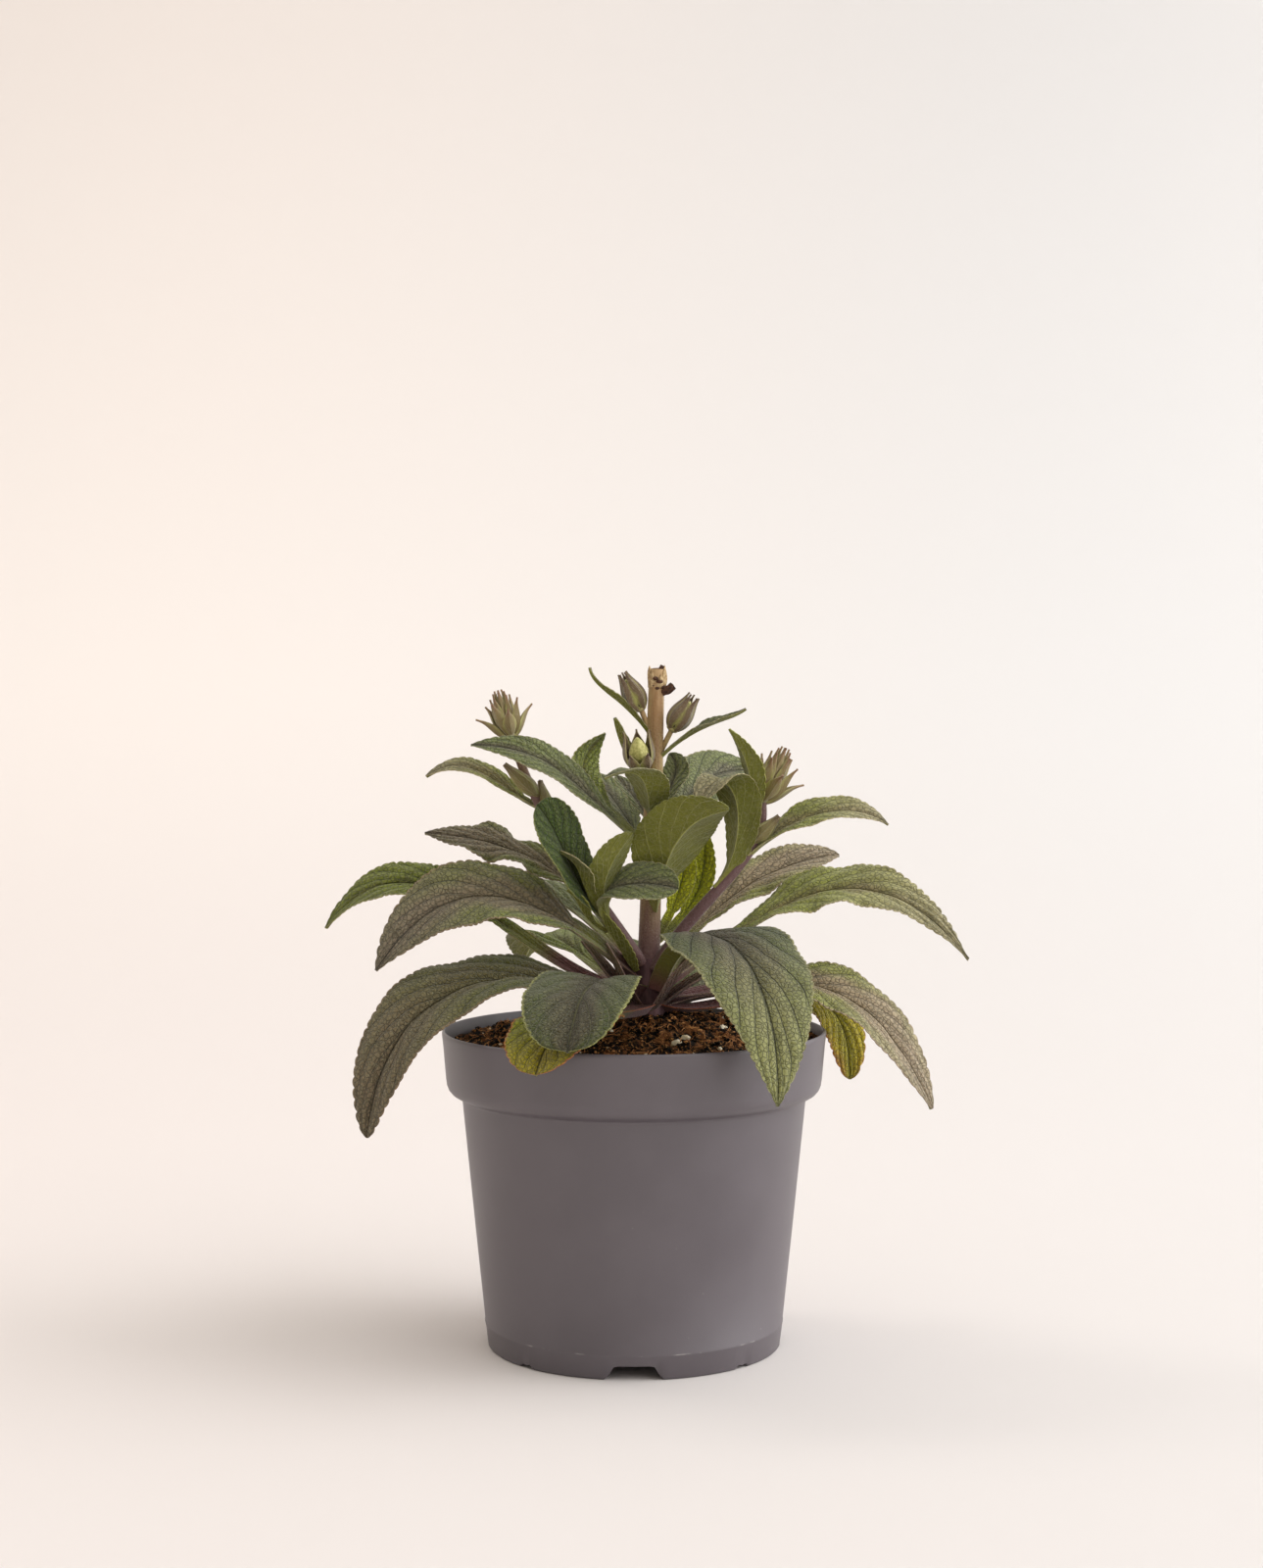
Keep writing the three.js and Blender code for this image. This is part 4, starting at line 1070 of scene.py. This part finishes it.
def drill_floor(pot):
    """Cuts the drain holes through the floor"""
    bm = bmesh.new()
    for k in range(DRAIN_HOLES):
        turn = 2 * math.pi * (k + 0.5) / DRAIN_HOLES
        centre = Vector((DRAIN_CIRCLE * math.cos(turn), DRAIN_CIRCLE * math.sin(turn), FLOOR_UNDERSIDE))
        bmesh.ops.create_cone(bm, cap_ends=True, segments=DRILL_SEGMENTS, depth=DRILL_LENGTH,
                              radius1=DRAIN_HOLE_RADIUS, radius2=DRAIN_HOLE_RADIUS,
                              matrix=Matrix.Translation(centre))
    bmesh.ops.scale(bm, vec=(METRE, METRE, METRE), verts=bm.verts)
    mesh = bpy.data.meshes.new("drills")
    bm.to_mesh(mesh)
    bm.free()
    drills = in_scene("drills", mesh)
    cut = pot.modifiers.new("drain holes", "BOOLEAN")
    cut.operation = "DIFFERENCE"
    cut.solver = "EXACT"
    cut.object = drills
    bpy.context.view_layer.update()
    drilled = bpy.data.meshes.new_from_object(pot.evaluated_get(bpy.context.evaluated_depsgraph_get()))
    pot.modifiers.clear()
    pot.data = drilled
    bpy.data.objects.remove(drills)


# Soil
def soil_height(x, y):
    from_crown = math.hypot(x - CROWN_X, y - CROWN_Y) / RIM_RADIUS
    mound = SOIL_AT_WALL + (SOIL_AT_CROWN - SOIL_AT_WALL) * max(0, 1 - from_crown) ** MOUND_FALL
    lumps = math.sin(x * 0.31 + 1) * math.cos(y * 0.27) + 0.6 * math.sin(x * 0.12 - y * 0.2)
    return mound + SOIL_BUMP * lumps


def crumbled_height(x, y):
    """The soil's surface with its crumbs, flat where it meets the wall"""
    place = Vector((x, y, 0))
    crumbs = sum(height * noise.noise(place * scale) for height, scale in CRUMB_WAVES)
    return soil_height(x, y) + crumbs * smooth_step(CRUMB_EDGE - math.hypot(x, y), 0, 6)


def soil_piece():
    slope = (SHOULDER_RADIUS - BASE_RADIUS) / SHOULDER
    inset = WALL + GAP
    bottom = FLOOR_UNDERSIDE + WALL + GAP

    def inside(height):
        return BASE_RADIUS + slope * height - inset

    top_rings = [(ring * SOIL_EDGE / SOIL_RINGS, SOIL_AT_WALL) for ring in range(SOIL_RINGS, 0, -1)]
    profile = [
        (0, bottom),
        (inside(bottom) - GAP, bottom),
        (inside(SHOULDER), SHOULDER + inset),
        SOIL_SHOULDER,
        (COLLAR_FOOT_RADIUS - inset, COLLAR_FOOT),
        *top_rings,
        (0, SOIL_AT_WALL),
    ]

    def heaped(place):
        if place.z < SOIL_AT_WALL - 0.01:
            return place
        return Vector((place.x, place.y, crumbled_height(place.x, place.y)))

    bm = new_shape()
    add_lathe(bm, profile, SOIL_SEGMENTS, "soil", shape=heaped)
    crumbs = Scatter(bm)
    for _ in range(CRUMBS):
        crumbs.crumb("soil", chance.uniform(0.5, 1.7), soil_spot(SOIL_REACH))
    for _ in range(FIBRE_CRUMBS):
        crumbs.crumb("fibre", chance.uniform(0.4, 1.1), soil_spot(SOIL_REACH))
    crumbs.close()
    fibres = new_shape()
    for _ in range(FIBRES):
        add_fibre(fibres)
    join(bm, fibres)
    finished("soil_bed", bm, "potting_soil", "soil")


def soil_spot(reach):
    """A random place on the soil, clear of the crown and the wall"""
    while True:
        radius, turn = reach * math.sqrt(chance.random()), chance.uniform(0, 2 * math.pi)
        x, y = radius * math.cos(turn), radius * math.sin(turn)
        if math.hypot(x - CROWN_X, y - CROWN_Y) > CROWN_RADIUS + CROWN_CLEAR:
            return x, y


def add_fibre(bm):
    """A curled strand of peat that lies on the soil"""
    x, y = soil_spot(FIBRE_REACH)
    turn, length = chance.uniform(0, 6.28), chance.uniform(2.5, 9)
    points = []
    for _ in range(4):
        points.append((x, y, crumbled_height(x, y) + chance.uniform(0.2, 1.2)))
        turn += chance.uniform(-0.7, 0.7)
        x, y = x + length / 3 * math.cos(turn), y + length / 3 * math.sin(turn)
        if math.hypot(x, y) > FIBRE_LIMIT:
            x, y = x * 0.93, y * 0.93
    add_tube(bm, cubic(points), lambda along: FIBRE_RADIUS * (1.1 - along), 4, 6, "fibre")


def perlite_piece():
    bm = new_shape()
    grains = Scatter(bm)
    for x, y, size in LARGE_GRAINS:
        grains.crumb("perlite", size, (x, y), GRAIN_SQUASH)
    for _ in range(SMALL_GRAINS):
        grains.crumb("perlite", chance.uniform(0.6, 1.6), soil_spot(FIBRE_REACH), GRAIN_SQUASH)
    grains.close()
    finished("perlite_grains", bm, "potting_soil")


# Leaves
def basal_leaf_piece(node, row):
    kind, *numbers = row
    leaf = Leaf(numbers, ROOT_HALF_WIDTH, BLADE, tooth=0.8, quilt=1.2)
    bm = new_shape()
    add_leaf(bm, leaf, BASAL_STEPS, LEAF_TINTS.get(node, kind) + "_upper", "under")
    add_fringe(bm, leaf, 0.8, 0.9, "hair", start=leaf.stalk)
    add_fringe(bm, leaf, 0.5, 1.3, "pink_hair", start=0.08, end=max(leaf.stalk, 0.15))
    finished(node.removeprefix("leaf_") + "_leaf", bm, LEAF_SLOTS[kind], node)


def add_stem_leaf(bm, name, row, tint):
    leaf = Leaf(row, STEM_LEAF_ROOT, BLADE, tooth=0.5, quilt=0.7)
    add_leaf(bm, leaf, STEM_LEAF_STEPS, LEAF_TINTS.get(name, tint) + "_upper", "under")
    add_fringe(bm, leaf, 0.8, 0.7, "hair")


def add_sheath(bm, row):
    sheath = Leaf(row, ROOT_HALF_WIDTH, BLADE, quilt=0.4)
    add_leaf(bm, sheath, STEM_LEAF_STEPS, "sheath_upper", "sheath_upper")
    add_fringe(bm, sheath, 0.5, 1.0, "pink_hair")


# Buds
def add_bracts(bm, place, finish, turn, foot_height, foot_radius, widest, length, tip_radius, half, fold,
               count, first=0, last=None, point=1.15):
    """A ring of bracts round a bud's axis: they lean out, reach their widest ring and turn to their tips"""
    for k in range(count)[first:last]:
        angle = turn + 2 * math.pi * k / count
        ways = ((foot_radius, 0), (widest, 0.33), (mixed(widest, tip_radius, 0.42), 0.68), (tip_radius, 1))
        spine = [(r * math.cos(angle), r * math.sin(angle), foot_height + length * h) for r, h in ways]
        bract = Leaf((*spine, half, 0, 0.4, point, fold, fold, 0, 0, 0, 1), half * 0.5, BRACT, quilt=0.15)
        add_leaf(bm, bract, BRACT_STEPS, finish, finish, place)
        add_fringe(bm, bract, 0.5, 0.6, "hair", place)


def add_calyx(bm, foot, tip, radius, openness, upright):
    """A flat cup and five sepals: the first ones stand up round the flower, the others are folded down"""
    place = aim(foot, tip)
    length = (Vector(tip) - Vector(foot)).length
    add_ball(bm, radius * 0.72, 24, 12, "sepal", place @ Matrix.Diagonal((1, 1, 0.5, 1)))
    add_bracts(bm, place, "sepal", SEPAL_TURN, -0.5, 0.8, radius + 1, length, radius * openness,
               radius * 0.9, 30, SEPALS, last=upright)
    add_bracts(bm, place, "sepal", SEPAL_TURN, -0.5, 0.8, radius + 0.6, length * 0.5, radius + 1.4,
               radius * 0.7, 25, SEPALS, first=upright)


def corolla_piece(side, foot, tip, radius):
    """The closed flower inside its calyx, ribbed and blunt"""
    length = (Vector(tip) - Vector(foot)).length * 0.72
    start = radius * 0.36 + GAP
    place = aim(foot, tip)
    steps = 18
    profile = [(0, start)]
    for k in range(1, steps):
        t = k / steps
        profile.append(((radius - 0.4) * math.sin(math.pi * t**0.75) ** 0.8, start + t * length))
    profile.append((0, start + length))

    def ribbed(spot):
        turn = math.atan2(spot.y, spot.x)
        ribs = 1 - 0.09 * abs(math.sin(2.5 * turn + 0.05 * spot.z)) ** 0.5
        return place @ Vector((spot.x * ribs, spot.y * ribs, spot.z))

    bm = new_shape()
    add_lathe(bm, profile, 40, "corolla", shape=ribbed)
    finished(f"young_flower_{side}", bm, "corolla", f"corolla_{side}")


def add_closed_bud(bm, foot, tip, radius):
    place = aim(foot, tip)
    length = (Vector(tip) - Vector(foot)).length
    core = place @ Matrix.Translation((0, 0, length * 0.4)) @ Matrix.Diagonal((1, 1, 1.7, 1))
    add_ball(bm, radius * 0.8, 20, 12, "closed_bract", core)
    add_bracts(bm, place, "closed_bract", 0.4, -1, 0.4, radius * 1.05, length, 0.5, radius * 1.25, 35, 3,
               point=0.8)


def head_piece(name, node, foot, top, radius):
    """A flower head: rings of pointed bracts packed on a core"""
    place = aim(foot, top)
    length = (Vector(top) - Vector(foot)).length
    core_radius, core_half = radius * 0.7, length * 0.42
    core = Matrix.Translation((0, 0, core_half + GAP)) @ Matrix.Diagonal((1, 1, core_half / core_radius, 1))
    bm = new_shape()
    add_ball(bm, core_radius, 24, 14, "head_bract", place @ core)
    for count, turn, height, foot_radius, widest, share, tip_radius, half, fold in HEAD_RINGS:
        add_bracts(bm, place, "head_bract", turn, height * length, foot_radius * radius, widest * radius,
                   share * length, tip_radius * radius, half * radius, fold, count)
    finished(name, bm, "flower_head", node)


# Stems
def main_stem_radius(along):
    return mixed(STEM_BASE_RADIUS, STEM_TOP_RADIUS, along)


def shoot_radius(along):
    return mixed(SHOOT_BASE_RADIUS, SHOOT_TOP_RADIUS, along)


def stem_side(degrees, radius, height):
    """A place beside the cut end of the stem"""
    turn = math.radians(degrees)
    return Vector(STEM_TOP) + Vector((radius * math.cos(turn), radius * math.sin(turn), height))


def add_torn_top(bm):
    """Splinters that stand up round the cut end of the stem, its scabs, and a dark flat ball between them
    as painted shade of the hollow
    """
    for degrees, rise in TORN_SPLINTERS:
        splinter = straight(stem_side(degrees, STEM_TOP_RADIUS - 0.9, -SPLINTER_LENGTH),
                            stem_side(degrees, STEM_TOP_RADIUS + 0.3, rise))
        add_tube(bm, splinter, lambda along: SPLINTER_RADIUS * (1.03 - along**3), 8, 10, "pith", 0.2)
    # Painted shade: a flat scab-brown ball stands in for the dark hollow of the cut stem
    hollow = Matrix.Translation(STEM_TOP) @ Matrix.Diagonal((1, 1, 0.2, 1))
    add_ball(bm, STEM_TOP_RADIUS * 0.8, 16, 8, "scab", hollow)
    for degrees, drop, size in SCAB_SPOTS:
        spot = Matrix.Translation(stem_side(degrees, STEM_TOP_RADIUS - 0.1, -drop))
        add_ball(bm, size, 10, 6, "scab", spot @ Matrix.Diagonal((1, 1, 0.6, 1)))
    for points, size in STUB_SCABS:
        add_tube(bm, cubic(points), lambda along, r=size: r * (0.5 + 0.8 * along * (1.3 - along)), 12, 10,
                 "scab", 0.25)


def main_stem_piece():
    bm = new_shape()
    crown = [(0, CROWN_FOOT), *((CROWN_RADIUS - inset, CROWN_FOOT + rise) for inset, rise in CROWN_STEPS),
             (STEM_BASE_RADIUS, CROWN_TOP), (0, CROWN_TOP)]
    add_lathe(bm, crown, 32, "crown", (CROWN_X, CROWN_Y))
    trunk = straight((CROWN_X, CROWN_Y, TRUNK_FOOT), STEM_TOP)
    add_tube(bm, trunk, main_stem_radius, 40, 90, "stem", STEM_RIDGE)
    add_stem_hairs(bm, trunk, main_stem_radius, STEM_HAIRS, 0.9, "hair")
    for name, row in MAIN_STEM_LEAVES.items():
        add_stem_leaf(bm, name, row, "grey")
    for row in CROWN_SHEATHS.values():
        add_sheath(bm, row)
    for stalk_root, *calyx in OPEN_BUDS.values():
        add_tube(bm, straight(stalk_root, calyx[0]), lambda along: STALK_RADIUS, 14, 8, "stem")
        add_calyx(bm, *calyx)
    add_torn_top(bm)
    finished("main_stem_and_buds", bm, "stem_and_stem_leaves", "main_stem")


def shoot_piece(side, points, leaves):
    bm = new_shape()
    curve = cubic(points)
    add_tube(bm, curve, shoot_radius, 24, 50, "shoot", STEM_RIDGE)
    add_stem_hairs(bm, curve, shoot_radius, SHOOT_HAIRS, 0.8, "hair")
    for name, row in leaves.items():
        add_stem_leaf(bm, name, row, "green")
    for bud in CLOSED_BUDS[side]:
        add_closed_bud(bm, *bud)
    finished(f"{side}_leafy_shoot", bm, "stem_and_stem_leaves", f"{side}_shoot")


def build_plant():
    pot_piece()
    soil_piece()
    perlite_piece()
    main_stem_piece()
    shoot_piece("left", LEFT_SHOOT, LEFT_SHOOT_LEAVES)
    shoot_piece("right", RIGHT_SHOOT, RIGHT_SHOOT_LEAVES)
    head_piece("left_flower_head", "left_head", *LEFT_HEAD)
    head_piece("right_flower_head", "right_head", *RIGHT_HEAD)
    for side, (_, foot, tip, radius, *_) in OPEN_BUDS.items():
        corolla_piece(side, foot, tip, radius)
    for node, row in BASAL_LEAVES.items():
        basal_leaf_piece(node, row)


# Studio
def add_camera():
    data = bpy.data.cameras.new("camera")
    data.sensor_width = SENSOR
    data.lens = SENSOR * FOCAL_PIXELS / PHOTO_HEIGHT
    camera = in_scene("camera", data)
    camera.location = Vector(CAMERA_PLACE) * METRE
    camera.rotation_euler = (math.radians(90 - CAMERA_TILT), 0, 0)
    bpy.context.scene.camera = camera


def light_room():
    for name, row in LIGHTS.items():
        soft_light(name, *row)
    world = bpy.data.worlds.new("room")
    world.use_nodes = True
    world.node_tree.nodes["Background"].inputs["Color"].default_value = ROOM_COLOUR
    world.node_tree.nodes["Background"].inputs["Strength"].default_value = ROOM_LIGHT
    bpy.context.scene.world = world
    bpy.context.scene.view_settings.view_transform = "Standard"


def soft_light(name, turn, rise, distance, width, power, colour):
    turn, rise = math.radians(turn), math.radians(rise)
    way = Vector((math.sin(turn) * math.cos(rise), -math.cos(turn) * math.cos(rise), math.sin(rise)))
    data = bpy.data.lights.new(name, "AREA")
    data.shape = "DISK"
    data.size = width
    data.energy = power
    data.color = colour
    light = in_scene(name, data)
    light.location = Vector(LIGHT_TARGET) + way * distance
    light.rotation_euler = way.to_track_quat("Z", "Y").to_euler()


def paper_finish():
    """Warm paper, painted a little cooler and darker to the right to offset the stronger light there"""
    finish = Finish("warm paper", 0.9, Specular_IOR_Level=0.1)
    sides = finish.split(finish.place)
    # Painted shade on the right: the colour darkens towards the right to offset the stronger lamps there
    to_right = finish.range(sides[0], -0.6, 0.6)
    floor = finish.mix(to_right, *PAPER_FLOOR)
    wall = finish.mix(to_right, *PAPER_WALL)
    finish.colour(finish.mix(finish.range(sides[2], 0.0, 0.35), floor, wall))
    return finish.material


def add_backdrop():
    """One seamless sheet: floor, a wide curve and wall"""
    bm = bmesh.new()
    outline = [(PAPER_FRONT, 0), (PAPER_BEND, 0)]
    for k in range(1, PAPER_CURVE_STEPS + 1):
        turn = math.radians(90) * k / PAPER_CURVE_STEPS
        outline.append((PAPER_BEND + PAPER_CURVE * math.sin(turn), PAPER_CURVE * (1 - math.cos(turn))))
    outline.append((PAPER_BEND + PAPER_CURVE, PAPER_TOP))
    vertices = [bm.verts.new((-PAPER_REACH, y, z)) for y, z in outline]
    edges = [bm.edges.new(pair) for pair in zip(vertices, vertices[1:])]
    swept = bmesh.ops.extrude_edge_only(bm, edges=edges)["geom"]
    moved = [part for part in swept if isinstance(part, bmesh.types.BMVert)]
    bmesh.ops.translate(bm, vec=(2 * PAPER_REACH, 0, 0), verts=moved)
    bmesh.ops.recalc_face_normals(bm, faces=bm.faces)
    for face in bm.faces:
        face.smooth = True
    mesh = bpy.data.meshes.new("backdrop")
    bm.to_mesh(mesh)
    bm.free()
    mesh.materials.append(paper_finish())
    in_scene("backdrop", mesh)


build_plant()
add_camera()
add_backdrop()
light_room()
